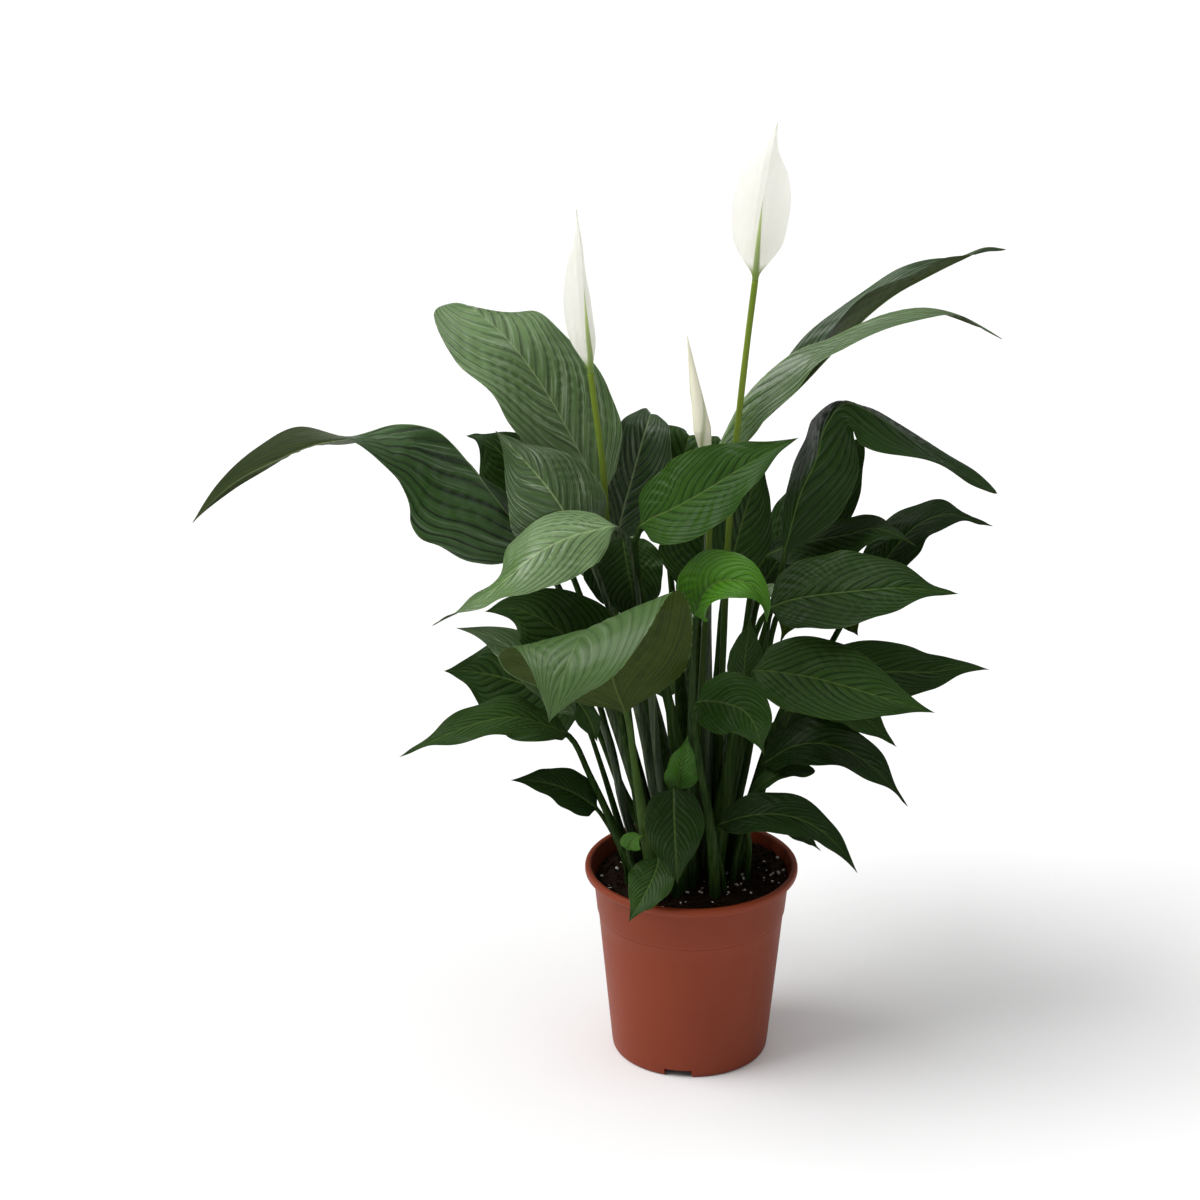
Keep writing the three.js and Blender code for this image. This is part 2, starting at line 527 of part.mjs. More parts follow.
const ADVANCE_PASSES = 8;
const BLEND_OUT = 0.09; // the round stalk has become a flat blade at this share of it
const SPATHE = { waves: 2, wave: 1, curl: -0.25, widest: 0.47, stalk: 1.3 };

// Half-width of a blade at share t of its length, 1 at the widest place.
function outline(t, widest) {
  if (t < widest) return (1 - (1 - t / widest) ** 2) ** ROUNDING;
  return (1 - ((t - widest) / (1 - widest)) ** SHOULDER) ** TAPER;
}

// Ten points round a blade's section: five over the upper face, five back along the underside.
function bladeSection(half, fold, curl, ripple, rib, right) {
  const line = LANES.map((lane) => {
    const out = lane * half * (lane > 0 ? right : 1);
    const lift = Math.abs(out) * Math.sin(fold) - curl * half * lane * lane + ripple * lane ** 3;
    return new THREE.Vector2(out * Math.cos(fold), lift);
  });
  const normals = line.map((_, i) => {
    const before = line[Math.max(i - 1, 0)];
    const after = line[Math.min(i + 1, line.length - 1)];
    const run = after.clone().sub(before).normalize();
    return new THREE.Vector2(-run.y, run.x);
  });
  const skinDepth = BLADE_THICKNESS / 2;
  const over = line.map((p, i) => p.clone().addScaledVector(normals[i], skinDepth));
  const under = line.map((p, i) => {
    const depth = LANES[i] === 0 ? rib : skinDepth;
    return p.clone().addScaledVector(normals[i], -depth);
  });
  return [...over, ...under.reverse()];
}

// Ten points round a stalk, in the same order as bladeSection's.
function stalkSection(radius) {
  return Array.from({ length: 2 * LANES.length }, (_, i) => {
    const angle = Math.PI * (0.9 - i / LANES.length);
    return new THREE.Vector2(Math.cos(angle), Math.sin(angle)).multiplyScalar(radius);
  });
}

// A value at share t of the blade, from a list of stations spread evenly from base to tip.
function along(stations, t, blend) {
  const last = stations.length - 1;
  const i = Math.min(Math.floor(t * last), last - 1);
  return blend(stations[i], stations[i + 1], smooth(t * last - i, 0, 1));
}

const faceAt = (faces, t) =>
  along(faces, t, (a, b, share) => vec(a).normalize().lerp(vec(b).normalize(), share).normalize());

const valueAt = (value, t) => (Array.isArray(value) ? along(value, t, mix) : value);

// Where a sharp bend would lead a blade's margin back over itself, its points are moved apart.
function advance(rings) {
  const last = 2 * LANES.length - 1;
  const middle = (ring, i) => ring[i].clone().add(ring[last - i]).multiplyScalar(0.5);
  const rib = (last - 1) / 4;
  for (let pass = 0; pass < ADVANCE_PASSES; pass++) {
    for (let k = 1; k < rings.length; k++) {
      const way = middle(rings[k], rib).sub(middle(rings[k - 1], rib));
      const least = ADVANCE * way.length();
      way.normalize();
      for (let i = 0; i < LANES.length; i++) {
        const short = least - middle(rings[k], i).sub(middle(rings[k - 1], i)).dot(way);
        if (short <= 0) continue;
        for (const point of [i, last - i]) {
          rings[k - 1][point].addScaledVector(way, -short / 2);
          rings[k][point].addScaledVector(way, short / 2);
        }
      }
    }
  }
  return rings;
}

function bladeRings(curve, share, spec, radiusAtBase) {
  const { faces, half, fold, wave, steps } = spec;
  const { waves = LEAF_WAVES, curl = LEAF_CURL, widest = WIDEST, right = 1 } = spec;
  const rings = steps.map((t) => {
    const u = mix(share, 1, t);
    const axes = sectionAxes(curve, u, faceAt(faces, t));
    const wide = half * outline(t, widest) + radiusAtBase * (1 - t);
    const ripple = wave * Math.sin(2 * Math.PI * waves * t + half);
    const rib = mix(radiusAtBase, BLADE_THICKNESS / 2, Math.min(1, t / RIB_REACH));
    const lift = ripple * smooth(t, 0, 0.2);
    const flat = bladeSection(wide, valueAt(fold, t), curl, lift, rib, valueAt(right, t));
    const round = stalkSection(radiusAtBase);
    const blend = smooth(t, 0, BLEND_OUT);
    return placeAll(axes, round.map((p, i) => p.lerp(flat[i], blend)));
  });
  return advance(rings);
}

// A stem's direction at each of its nodes; the curve runs on past them in steps of one node.
const directions = (curve, { nodes }, count) =>
  nodes.map((node, i) => (i === 0 ? nodes[1].clone().sub(node).normalize() : curve.getTangent(i / count)));

// Rings round a stem's lower nodes; the last node is left to what grows on it.
const stemRings = ({ nodes, radii }, ways, faces, sectionOf) =>
  nodes.slice(0, -1).map((node, i) => placeAll(frameAt(node, ways[i], faces[i]), sectionOf(radii[i])));

// The upper side at each node of a stalk: its blade's, carried down the stalk without a twist.
function carryDown(ways, face) {
  const faces = [face];
  for (let i = ways.length - 1; i > 0; i--) {
    const turn = new THREE.Quaternion().setFromUnitVectors(ways[i], ways[i - 1]);
    faces.unshift(faces[0].clone().applyQuaternion(turn));
  }
  return faces;
}

// Stalk and blade of one leaf, as one body from the hole in the soil to the drip tip.
function makeLeaf({ spine, width, face, fold, wave, detail, widest, curl, right }, stem) {
  const { nodes, radii } = stem;
  const points = [...nodes, ...spine.slice(1).map(vec)];
  const { curve, shareOf } = pathThrough(points);
  const ways = directions(curve, stem, points.length - 1);
  const { up } = frameAt(nodes.at(-1), ways.at(-1), vec(face[0]));
  const stalk = stemRings(stem, ways, carryDown(ways, up), stalkSection);
  const spec = { faces: face, half: width / 2, fold, wave, widest, curl, right, steps: BLADE_STEPS[detail] };
  const rings = [...stalk, ...bladeRings(curve, shareOf(nodes.length - 1), spec, radii.at(-1))];
  return skin(rings, nodes[0], curve.getPointAt(1));
}

// A white spathe: a leaf-like bract that starts on top of its scape.
function makeSpathe({ spathe, width, fold, face }, foot) {
  const points = [foot, ...spathe.map(vec)];
  const { curve } = pathThrough(points);
  const spec = { ...SPATHE, faces: [face, face], half: width / 2, fold, steps: BLADE_STEPS[3] };
  return skin(bladeRings(curve, 0, spec, SPATHE.stalk), foot, curve.getPointAt(1));
}

// ---------------------------------------------------------------- scapes, spadices and the bud
const TUBE_SIDES = 8;
const SPADIX_SIDES = 12;
const SPADIX_ROWS = 11;
const STIPE_RADIUS = 1.1; // short stalk of the spadix
const STIPE_LENGTH = 5;
const KNOB = 0.1; // how far the small flowers stand out, as a share of the spadix's radius
const BUD_SIDES = 10;
const BUD_RINGS = 12;
const BUD_BELLY = 0.35; // where the bud is thickest
const SEAM_DEPTH = 0.16; // the rolled edge of the bud, as a share of its radius
const SEAM_TURNS = 0.8; // how far the edge winds round the bud
const FLOWER_SPREAD = 1.6; // spathe and spadix stand this far to either side of the scape's axis

// Points round a section whose radius may depend on the angle.
const roundSection = (sides, radiusAt) =>
  Array.from({ length: sides }, (_, i) => {
    const angle = (-2 * Math.PI * i) / sides;
    return new THREE.Vector2(Math.cos(angle), Math.sin(angle)).multiplyScalar(radiusAt(angle));
  });

function makeScape(stem) {
  const { nodes, radii } = stem;
  const { curve } = pathThrough(nodes);
  const top = frameAt(nodes.at(-1), curve.getTangent(1), FRONT);
  const section = (radius) => roundSection(TUBE_SIDES, () => radius);
  const ways = directions(curve, stem, nodes.length - 1);
  const rings = stemRings(stem, ways, nodes.map(() => FRONT), section);
  rings.push(placeAll(top, section(radii.at(-1))));
  return skin(rings, nodes[0], nodes.at(-1));
}

// The knobbly spike inside a spathe: staggered rows of small round flowers raised from it.
function makeSpadix(foot, tip, radius) {
  const { curve, length } = pathThrough([foot, tip]);
  const stipe = STIPE_LENGTH / length;
  const ring = (u, radiusAt) => placeAll(sectionAxes(curve, u, FRONT), roundSection(SPADIX_SIDES, radiusAt));
  const rings = [ring(0, () => STIPE_RADIUS), ring(stipe, () => STIPE_RADIUS)];
  for (let row = 0; row < SPADIX_ROWS; row++) {
    const share = (row + 0.5) / SPADIX_ROWS;
    const body = radius * Math.min(1, 1.6 * Math.sqrt(1 - share), 0.75 + share);
    const knob = (angle) => body * (1 + KNOB * Math.cos((angle * SPADIX_SIDES) / 2 + row * Math.PI));
    rings.push(ring(mix(stipe, 0.99, share), knob));
  }
  return skin(rings, foot, tip);
}

// A spathe that is still rolled up: a spindle with the seam of its outer edge winding round it.
function makeBud(foot, tip, radius) {
  const { curve } = pathThrough([foot, tip]);
  const rings = Array.from({ length: BUD_RINGS }, (_, i) => {
    const u = i / BUD_RINGS;
    const swelling = (u / BUD_BELLY) ** 0.6 * Math.min(1, ((1 - u) / (1 - BUD_BELLY)) ** 0.8);
    const body = Math.max(SCAPE_TOP_RADIUS * (1 - u), radius * swelling);
    const turn = (angle) => THREE.MathUtils.euclideanModulo(angle / (2 * Math.PI) + SEAM_TURNS * u, 1);
    const seam = (angle) => body * (1 - SEAM_DEPTH * turn(angle));
    return placeAll(sectionAxes(curve, u, FRONT), roundSection(BUD_SIDES, seam));
  });
  return skin(rings, foot, tip);
}

// ---------------------------------------------------------------- pot and soil
const bodyRadius = (z) => mix(BASE_RADIUS, COLLAR_FOOT_RADIUS - COLLAR_STEP, z / COLLAR_FOOT_HEIGHT);
const LIP_FOOT = POT_HEIGHT - RIM_DEPTH;
const MOUTH_RADIUS = COLLAR_TOP_RADIUS - WALL;

function innerRadius(z) {
  if (z < COLLAR_FOOT_HEIGHT) return bodyRadius(z) - WALL;
  const share = (z - COLLAR_FOOT_HEIGHT) / (LIP_FOOT - COLLAR_FOOT_HEIGHT);
  return mix(COLLAR_FOOT_RADIUS - COLLAR_STEP, COLLAR_TOP_RADIUS, Math.min(share, 1)) - WALL;
}

function arc(cx, cz, radius, from, to, steps) {
  return Array.from({ length: steps + 1 }, (_, i) => {
    const angle = radians(mix(from, to, i / steps));
    return new THREE.Vector2(cx + radius * Math.cos(angle), cz + radius * Math.sin(angle));
  });
}

function makePot() {
  const ROLL = 2.2; // rounding of the lip
  const profile = [
    new THREE.Vector2(0, 0),
    ...arc(BASE_RADIUS - BASE_CORNER, BASE_CORNER, BASE_CORNER, -90, 0, 3),
    new THREE.Vector2(bodyRadius(COLLAR_FOOT_HEIGHT), COLLAR_FOOT_HEIGHT),
    new THREE.Vector2(COLLAR_FOOT_RADIUS, COLLAR_FOOT_HEIGHT + COLLAR_STEP),
    new THREE.Vector2(COLLAR_TOP_RADIUS, LIP_FOOT),
    ...arc(RIM_RADIUS - ROLL, LIP_FOOT + ROLL, ROLL, -90, 0, 2),
    ...arc(RIM_RADIUS - ROLL, POT_HEIGHT - ROLL, ROLL, 0, 90, 3),
    ...arc(MOUTH_RADIUS + ROLL, POT_HEIGHT - ROLL, ROLL, 90, 180, 2),
    new THREE.Vector2(innerRadius(LIP_FOOT), LIP_FOOT),
    new THREE.Vector2(innerRadius(COLLAR_FOOT_HEIGHT), COLLAR_FOOT_HEIGHT),
    new THREE.Vector2(innerRadius(FLOOR), FLOOR),
    new THREE.Vector2(0, FLOOR),
  ];
  const turned = new THREE.LatheGeometry(profile, POT_SIDES).rotateX(Math.PI / 2);
  let solid = toSolid(turned);
  for (let i = 0; i < NOTCH_COUNT; i++) {
    const cutter = new THREE.BoxGeometry(2 * NOTCH_REACH, NOTCH_WIDTH, 2 * NOTCH_HEIGHT);
    cutter.translate(BASE_RADIUS, 0, 0);
    cutter.rotateZ(radians(NOTCH_ANGLE + (360 * i) / NOTCH_COUNT));
    solid = solid.subtract(toSolid(cutter));
  }
  return toGeometry(solid);
}

// Height of the soil: a low mound, higher to the right, with crumbs of relief.
function soilHeight(x, y) {
  const out = Math.hypot(x, y) / MOUTH_RADIUS;
  const mound = 4 * (1 - out * out) + (2.5 * x) / MOUTH_RADIUS;
  const crumbs = Math.sin(0.31 * x + 1.3) * Math.sin(0.27 * y) + 0.7 * Math.sin(0.53 * x - 0.41 * y);
  return SOIL_HEIGHT - 1 + mound + 0.9 * crumbs;
}

function makeSoil(stems) {
  const ringAt = (radius, heightAt) =>
    Array.from({ length: SOIL_SPOKES }, (_, i) => {
      const angle = (2 * Math.PI * i) / SOIL_SPOKES;
      const x = radius * Math.cos(angle);
      const y = radius * Math.sin(angle);
      return new THREE.Vector3(x, y, heightAt(x, y));
    });
  const bottom = FLOOR + GAP;
  const edge = innerRadius(SOIL_HEIGHT - SOIL_RELIEF) - 2 * GAP;
  const rings = [
    ringAt(innerRadius(bottom) - GAP, () => bottom),
    ringAt(innerRadius(COLLAR_FOOT_HEIGHT) - GAP, () => COLLAR_FOOT_HEIGHT),
  ];
  for (let i = 0; i < SOIL_RINGS; i++) {
    rings.push(ringAt(edge * (1 - i / SOIL_RINGS), soilHeight));
  }
  const surface = skin(rings, new THREE.Vector3(0, 0, bottom), new THREE.Vector3(0, 0, soilHeight(0, 0)));
  const holes = stems.map(({ nodes, radii }) => {
    const length = 2 * HOLE_DEPTH;
    const radius = (radii[0] + STEM_CLEARANCE) / Math.cos(Math.PI / HOLE_SIDES);
    const hole = new THREE.CylinderGeometry(radius, radius, length, HOLE_SIDES);
    hole.rotateX(Math.PI / 2).translate(0, 0, length / 2 - GAP);
    const towards = nodes[1].clone().sub(nodes[0]).normalize();
    hole.applyQuaternion(new THREE.Quaternion().setFromUnitVectors(UP, towards));
    return toSolid(hole.translate(nodes[0].x, nodes[0].y, nodes[0].z));
  });
  return toGeometry(toSolid(surface).subtract(wasm.Manifold.union(holes)));
}

// ---------------------------------------------------------------- assembly
const plant = new THREE.Group();
plant.name = "potted_peace_lily";

function add(name, geometry, color, roughness) {
  geometry.computeVertexNormals();
  const material = new THREE.MeshStandardMaterial({ color, roughness, metalness: 0 });
  const mesh = new THREE.Mesh(geometry, material);
  mesh.name = name;
  plant.add(mesh);
}

const leaves = Object.entries(LEAVES).flatMap(([side, specs]) =>
  specs.map((leaf, i) => ({ name: `leaf_${side}_${i + 1}`, leaf, stem: stalkStem(leaf) })));
const scapes = [...FLOWERS, BUD].map(scapeStem);
const stems = [...leaves.map(({ stem }) => stem), ...scapes];
bendClear(stems);

leaves.forEach(({ name, leaf, stem }) => {
  add(name, makeLeaf(leaf, stem), leaf.young ? YOUNG_GREEN : LEAF_GREEN, SHEEN.leaf);
});

FLOWERS.forEach((flower, i) => {
  const top = vec(flower.scape.at(-1));
  const inner = vec(flower.face).normalize();
  const spatheFoot = top.clone().addScaledVector(UP, GAP).addScaledVector(inner, -FLOWER_SPREAD);
  const spadixFoot = top.clone().addScaledVector(UP, GAP).addScaledVector(inner, FLOWER_SPREAD);
  const spine = vec(flower.spathe.at(-1)).sub(top).normalize();
  const { length, lean, radius } = flower.spadix;
  const spadixTip = spadixFoot.clone().addScaledVector(spine, length).addScaledVector(inner, lean);
  add(`scape_${i + 1}`, makeScape(scapes[i]), SCAPE_GREEN, SHEEN.scape);
  add(`spathe_${i + 1}`, makeSpathe(flower, spatheFoot), SPATHE_WHITE, SHEEN.spathe);
  add(`spadix_${i + 1}`, makeSpadix(spadixFoot, spadixTip, radius), SPADIX_CREAM, SHEEN.spadix);
});

const budFoot = vec(BUD.scape.at(-1)).addScaledVector(UP, 2 * GAP);
add("scape_3", makeScape(scapes.at(-1)), SCAPE_GREEN, SHEEN.scape);
add("spathe_bud", makeBud(budFoot, vec(BUD.tip), BUD.radius), BUD_CREAM, SHEEN.spathe);

add("soil", makeSoil(stems), SOIL_BROWN, SHEEN.soil);
add("pot", makePot(), TERRACOTTA, SHEEN.pot);

export default plant;
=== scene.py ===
"""Dresses the packed potted peace lily: fine leaves, flowers, soil and pot around the CAD frame."""

import math
import random
from bisect import bisect_right
from collections import namedtuple

import bmesh
import bpy
from bpy.props import FloatProperty, FloatVectorProperty, IntProperty, PointerProperty
from mathutils import Matrix, Vector, noise


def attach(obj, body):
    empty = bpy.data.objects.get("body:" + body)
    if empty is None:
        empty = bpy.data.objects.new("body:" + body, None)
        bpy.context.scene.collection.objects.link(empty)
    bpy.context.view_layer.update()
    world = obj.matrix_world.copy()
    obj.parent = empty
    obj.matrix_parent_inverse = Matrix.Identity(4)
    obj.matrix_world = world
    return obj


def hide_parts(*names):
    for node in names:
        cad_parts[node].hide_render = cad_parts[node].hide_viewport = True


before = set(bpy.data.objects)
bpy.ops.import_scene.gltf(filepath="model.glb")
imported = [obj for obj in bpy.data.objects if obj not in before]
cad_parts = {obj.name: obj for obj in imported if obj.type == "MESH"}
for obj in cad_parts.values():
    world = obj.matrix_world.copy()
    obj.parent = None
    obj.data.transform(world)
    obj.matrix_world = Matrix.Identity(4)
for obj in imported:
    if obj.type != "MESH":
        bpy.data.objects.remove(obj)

bl_info = {
    "name": "Potted peace lily",
    "version": (1, 0, 0),
    "blender": (4, 5, 0),
    "location": "3D View > Sidebar > Peace lily",
    "description": "Fine leaves, flowers, soil and pot for the potted peace lily",
    "category": "Add Mesh",
}

MM = 0.001
UP = Vector((0, 0, 1))

# ---- the sections of the CAD stems and blades
BLADE_POINTS = 10  # round a stalk or a blade
STEM_POINTS = 8  # round a flower stalk
STALK_RINGS = 4  # sections below a leaf's blade
STATIONS = {  # where a blade's sections lie, as shares of its length, by their number
    6: (0.01, 0.09, 0.24, 0.44, 0.66, 0.88),
    7: (0.01, 0.08, 0.2, 0.35, 0.52, 0.7, 0.88),
    12: (0.01, 0.05, 0.12, 0.21, 0.31, 0.41, 0.5, 0.58, 0.67, 0.77, 0.87, 0.95),
}
SKIN = 0.5 * MM  # half of a CAD blade's thickness
SAME_CAD_POINT, SAME_SHEET_POINT, SAME_POT_POINT = 0.002 * MM, 0.004 * MM, 0.01 * MM  # closer ones are merged
OVER_LOOK = Vector((0, -0.5, 1))  # a leaf's upper side looks this way near its base
TURNED_OVER = ("leaf_front_2",)  # except here
BASE_RADIUS = 2.2 * MM  # of a stalk where its blade starts
STEADY = 0.05  # share of a blade's length over which its section is evened out
INNER_LANE = 0.55  # share of the half-width at which a section has its inner points
LANE_PAIRS = ((0, 9), (1, 8), (3, 6), (4, 5))  # upper and lower points of a section at its four lanes
WIDEST_PLACES = [0.26 + 0.01 * step for step in range(33)]  # shares of its length where a blade can be widest


def mix(a, b, share):
    return a + (b - a) * share


def smooth(x, low, high):
    share = min(max((x - low) / (high - low), 0), 1)
    return share * share * (3 - 2 * share)


def middle(points):
    return sum(points, Vector()) / len(points)


class Through:
    """A smooth curve through values at rising stations."""

    def __init__(self, stations, values):
        self.stations, self.values = list(stations), list(values)
        gaps = [b - a for a, b in zip(self.stations, self.stations[1:])]
        steps = [(b - a) / gap for a, b, gap in zip(self.values, self.values[1:], gaps)]
        pairs = zip(steps, steps[1:], gaps, gaps[1:])
        inner = [(a * after + b * before) / (before + after) for a, b, before, after in pairs]
        self.slopes = [steps[0], *inner, steps[-1]]

    def __call__(self, x):
        i = min(max(bisect_right(self.stations, x) - 1, 0), len(self.stations) - 2)
        gap = self.stations[i + 1] - self.stations[i]
        s = min(max((x - self.stations[i]) / gap, 0), 1)
        rise = s * s * (3 - 2 * s)
        start = s * (1 - s) * (1 - s) * gap
        end = s * s * (s - 1) * gap
        place = self.values[i] * (1 - rise) + self.values[i + 1] * rise
        return place + self.slopes[i] * start + self.slopes[i + 1] * end


def read_rings(node, count):
    """The sections of a CAD stem or blade from its foot up, and the points at its two ends."""
    bm = bmesh.new()
    bm.from_mesh(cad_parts[node].data)
    bmesh.ops.remove_doubles(bm, verts=bm.verts[:], dist=SAME_CAD_POINT)
    hubs = [v for v in bm.verts if len(v.link_edges) == count]
    foot = min(hubs, key=lambda v: v.co.z)
    depth, row, rings = {foot: 0}, [foot], []
    while row:
        level = depth[row[0]] + 1
        following = []
        for v in row:
            for edge in v.link_edges:
                other = edge.other_vert(v)
                if other not in depth:
                    depth[other] = level
                    following.append(other)
        row = following
        if len(row) == count:
            rings.append(walk_round(row, depth))
        elif len(row) > 1:
            raise RuntimeError(f"{node}: section {level} has {len(row)} points")
        elif row:
            tip = row[0].co.copy()
    ends = foot.co.copy(), tip
    bm.free()
    return rings, ends


def walk_round(row, depth):
    """The places of a section's points in their order round it."""
    order = [row[0]]
    while len(order) < len(row):
        beside = [e.other_vert(order[-1]) for e in order[-1].link_edges]
        level = [v for v in beside if depth.get(v) == depth[row[0]] and v not in order]
        order.append(level[0])
    return [v.co.copy() for v in order]


def turns_of(ring):
    return [ring[k:] + ring[:k] for k in range(len(ring))]


def margin_width(ring):
    """How wide both margins of a section are, if its list starts at one of them."""
    return (ring[4] - ring[5]).length + (ring[9] - ring[0]).length


def align_rings(rings, reference, look, tip):
    """Turns each section's list so that it runs over the upper face and back underneath."""
    centres = [middle(ring) for ring in rings] + [tip]
    for i, ring in enumerate(rings):
        way = centres[i + 1] - centres[max(i - 1, 0)]
        swept = Vector()
        for a, b in zip(ring, ring[1:] + ring[:1]):
            swept += (a - centres[i]).cross(b - centres[i])
        if swept.dot(way) < 0:
            ring.reverse()
    turns = sorted(turns_of(rings[reference]), key=margin_width)[:2]
    rings[reference] = max(turns, key=lambda r: (r[1] + r[3] - r[8] - r[6]).normalized().dot(look))
    for step, stop in ((-1, -1), (1, len(rings))):
        for i in range(reference + step, stop, step):
            rings[i] = best_turn(rings[i], rings[i - step])


def best_turn(ring, beside):
    """The turn of a section's list that lies most like the section beside it."""
    centre, other = middle(ring), middle(beside)
    turns = turns_of(ring)
    sides = [(a - b).length for a, b in zip(ring, ring[1:] + ring[:1])]
    if max(sides) > 4 * min(sides):  # a blade's flat section, not a stalk's round one
        turns = sorted(turns, key=margin_width)[:2]

    def likeness(turn):
        pairs = zip(turn, beside)
        return sum((p - centre).normalized().dot((q - other).normalized()) for p, q in pairs)

    return max(turns, key=likeness)


def outline(t, widest):
    """Half-width of a blade at share t of its length, 1 at the widest place."""
    if t < widest:
        return (1 - (1 - t / widest) ** 2) ** 0.6
    return (1 - min((t - widest) / (1 - widest), 1) ** 1.6) ** 1.25


class Blade:
    """A blade's midrib, its section across and its width, read from the CAD rings."""

    def __init__(self, rings, tip):
        stations = STATIONS[len(rings)]
        ribs, lanes = [], []
        for ring in rings:
            up = (ring[1] - ring[8] + ring[3] - ring[6]).normalized()
            rib = ring[2] - up * SKIN
            ribs.append(rib)
            lanes.append([(ring[a] + ring[b]) / 2 - rib for a, b in LANE_PAIRS])
        ribs[0] = middle(rings[0])
        self.rib = Through([*stations, 1], [*ribs, tip])
        reach = [(r[0].length + r[3].length) / 2 for r in lanes[1:]]
        self.widest, self.half = self.fit(stations[1:], reach)
        spread = [[offset / self.width(t) for offset in row] for t, row in zip(stations[1:], lanes[1:])]
        spread = [spread[0], *spread, spread[-1]]
        places = [0, *stations[1:], 1]
        self.lanes = [Through(places, [row[i] for row in spread]) for i in range(4)]
        self.length = sum((b - a).length for a, b in zip(ribs, [*ribs[1:], tip]))

    def fit(self, stations, reach):
        """The place and half-width of the widest section that suit the measured ones best."""
        best = None
        for widest in WIDEST_PLACES:
            shape = [outline(t, widest) for t in stations]
            rest = [r - BASE_RADIUS * (1 - t) for r, t in zip(reach, stations)]
            half = sum(a * b for a, b in zip(shape, rest)) / sum(a * a for a in shape)
            miss = sum((half * a - b) ** 2 for a, b in zip(shape, rest))
            if best is None or miss < best[0]:
                best = (miss, widest, half)
        return best[1:]

    def width(self, t):
        return self.half * outline(t, self.widest) + BASE_RADIUS * (1 - t)

    def row(self, t, form):
        """Offsets of the margin and inner lanes at t, from one margin to the other."""
        end = min(max((t - self.widest) / (1 - self.widest), 0), 1)
        rounder = (1 - end**3) ** 0.6 - outline(t, self.widest)
        fuller = self.half * form.blunt * smooth(end, 0, 0.5) * rounder
        wide = (self.width(t) + fuller) * (1 - form.taper * smooth(t, 0.7, 0.92))
        s = t * form.reach
        h = min(form.steady, s, 1 - s)  # the section is a mean over this share to both sides
        shares = [wide * mix(1, side, smooth(t, 0.1, 0.4)) / 4 for side in (form.left, form.right)]
        lanes = zip(self.lanes, (shares[0], shares[0], shares[1], shares[1]))
        return [(lane(s) * 2 + lane(s - h) + lane(s + h)) * share for lane, share in lanes]


def across(row, u, soft=0.0):
    """Place on a section at share u of its width, and the slope there, both from the midrib.

    A fold along the midrib is rounded off over the share soft of the width."""
    a, k = abs(u), INNER_LANE
    halves = (row[2], row[3]), (row[1], row[0])
    inner, margin = halves[0] if u >= 0 else halves[1]
    sign = 1 if u >= 0 else -1
    place = inner * (a * (1 - a) / (k * (1 - k))) + margin * (a * (a - k) / (1 - k))
    slope = (inner * ((1 - 2 * a) / (k * (1 - k))) + margin * ((2 * a - k) / (1 - k))) * sign
    if soft:
        fold = sum((i / (k * (1 - k)) - m * (k / (1 - k)) for i, m in halves), Vector()) / 2
        round_ = math.hypot(u, soft)
        place = place + fold * ((round_ - a) * (1 - a * a))
        slope = slope + fold * (u / round_ - sign)
    return place, slope


# ---- meshes
def sheet_mesh(columns, rows, place, layers=()):
    """A bmesh grid whose vertices go where place(column, row) says, closed where they meet."""
    bm = bmesh.new()
    for name in layers:
        bm.verts.layers.float_vector.new(name)
    marks = [bm.verts.layers.float_vector[name] for name in layers]
    bmesh.ops.create_grid(bm, x_segments=columns, y_segments=rows, size=1)
    for v in bm.verts:
        column = round((v.co.x + 1) / 2 * columns)
        row = round((v.co.y + 1) / 2 * rows)
        v.co, *values = place(column, row)
        for mark, value in zip(marks, values):
            v[mark] = value
    bmesh.ops.remove_doubles(bm, verts=bm.verts[:], dist=SAME_SHEET_POINT)
    loose = [e for e in bm.edges if len(e.link_faces) == 1]
    if loose:
        bmesh.ops.holes_fill(bm, edges=loose, sides=0)
    return bm


def sharpen_margins(bm):
    """Splits both faces of a blade alike, and keeps them from being shaded as one round edge."""
    bmesh.ops.triangulate(bm, faces=bm.faces[:], quad_method="SHORT_EDGE")
    mark = bm.verts.layers.float_vector["blade"]
    for edge in bm.edges:
        edge.smooth = any(abs(v[mark].x) < 0.999 or v[mark].y < 0.05 for v in edge.verts)


def add_object(name, data):
    made = bpy.data.objects.new(name, data)
    bpy.context.scene.collection.objects.link(made)
    return made


def add_mesh(bm, name, material=None):
    mesh = bpy.data.meshes.new(name)
    bm.to_mesh(mesh)
    bm.free()
    if material:
        mesh.materials.append(material)
    return add_object(name, mesh)


def finish_piece(bm, name, node, material, smooth_faces=True):
    """Makes the object of a finished mesh, in place of its CAD node."""
    bmesh.ops.recalc_face_normals(bm, faces=bm.faces[:])
    for face in bm.faces:
        face.smooth = smooth_faces
    piece = add_mesh(bm, name, material)
    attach(piece, "root")
    if node:
        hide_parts(node)
    return piece


def distances(points):
    """How far along the line through some points each of them lies."""
    knots = [0.0]
    for a, b in zip(points, points[1:]):
        knots.append(knots[-1] + (b - a).length)
    return knots


def spoke(side, other, column, columns):
    """The direction in which a column stands round an axis, and its angle."""
    angle = math.tau * column / columns
    return side * math.cos(angle) + other * math.sin(angle), angle


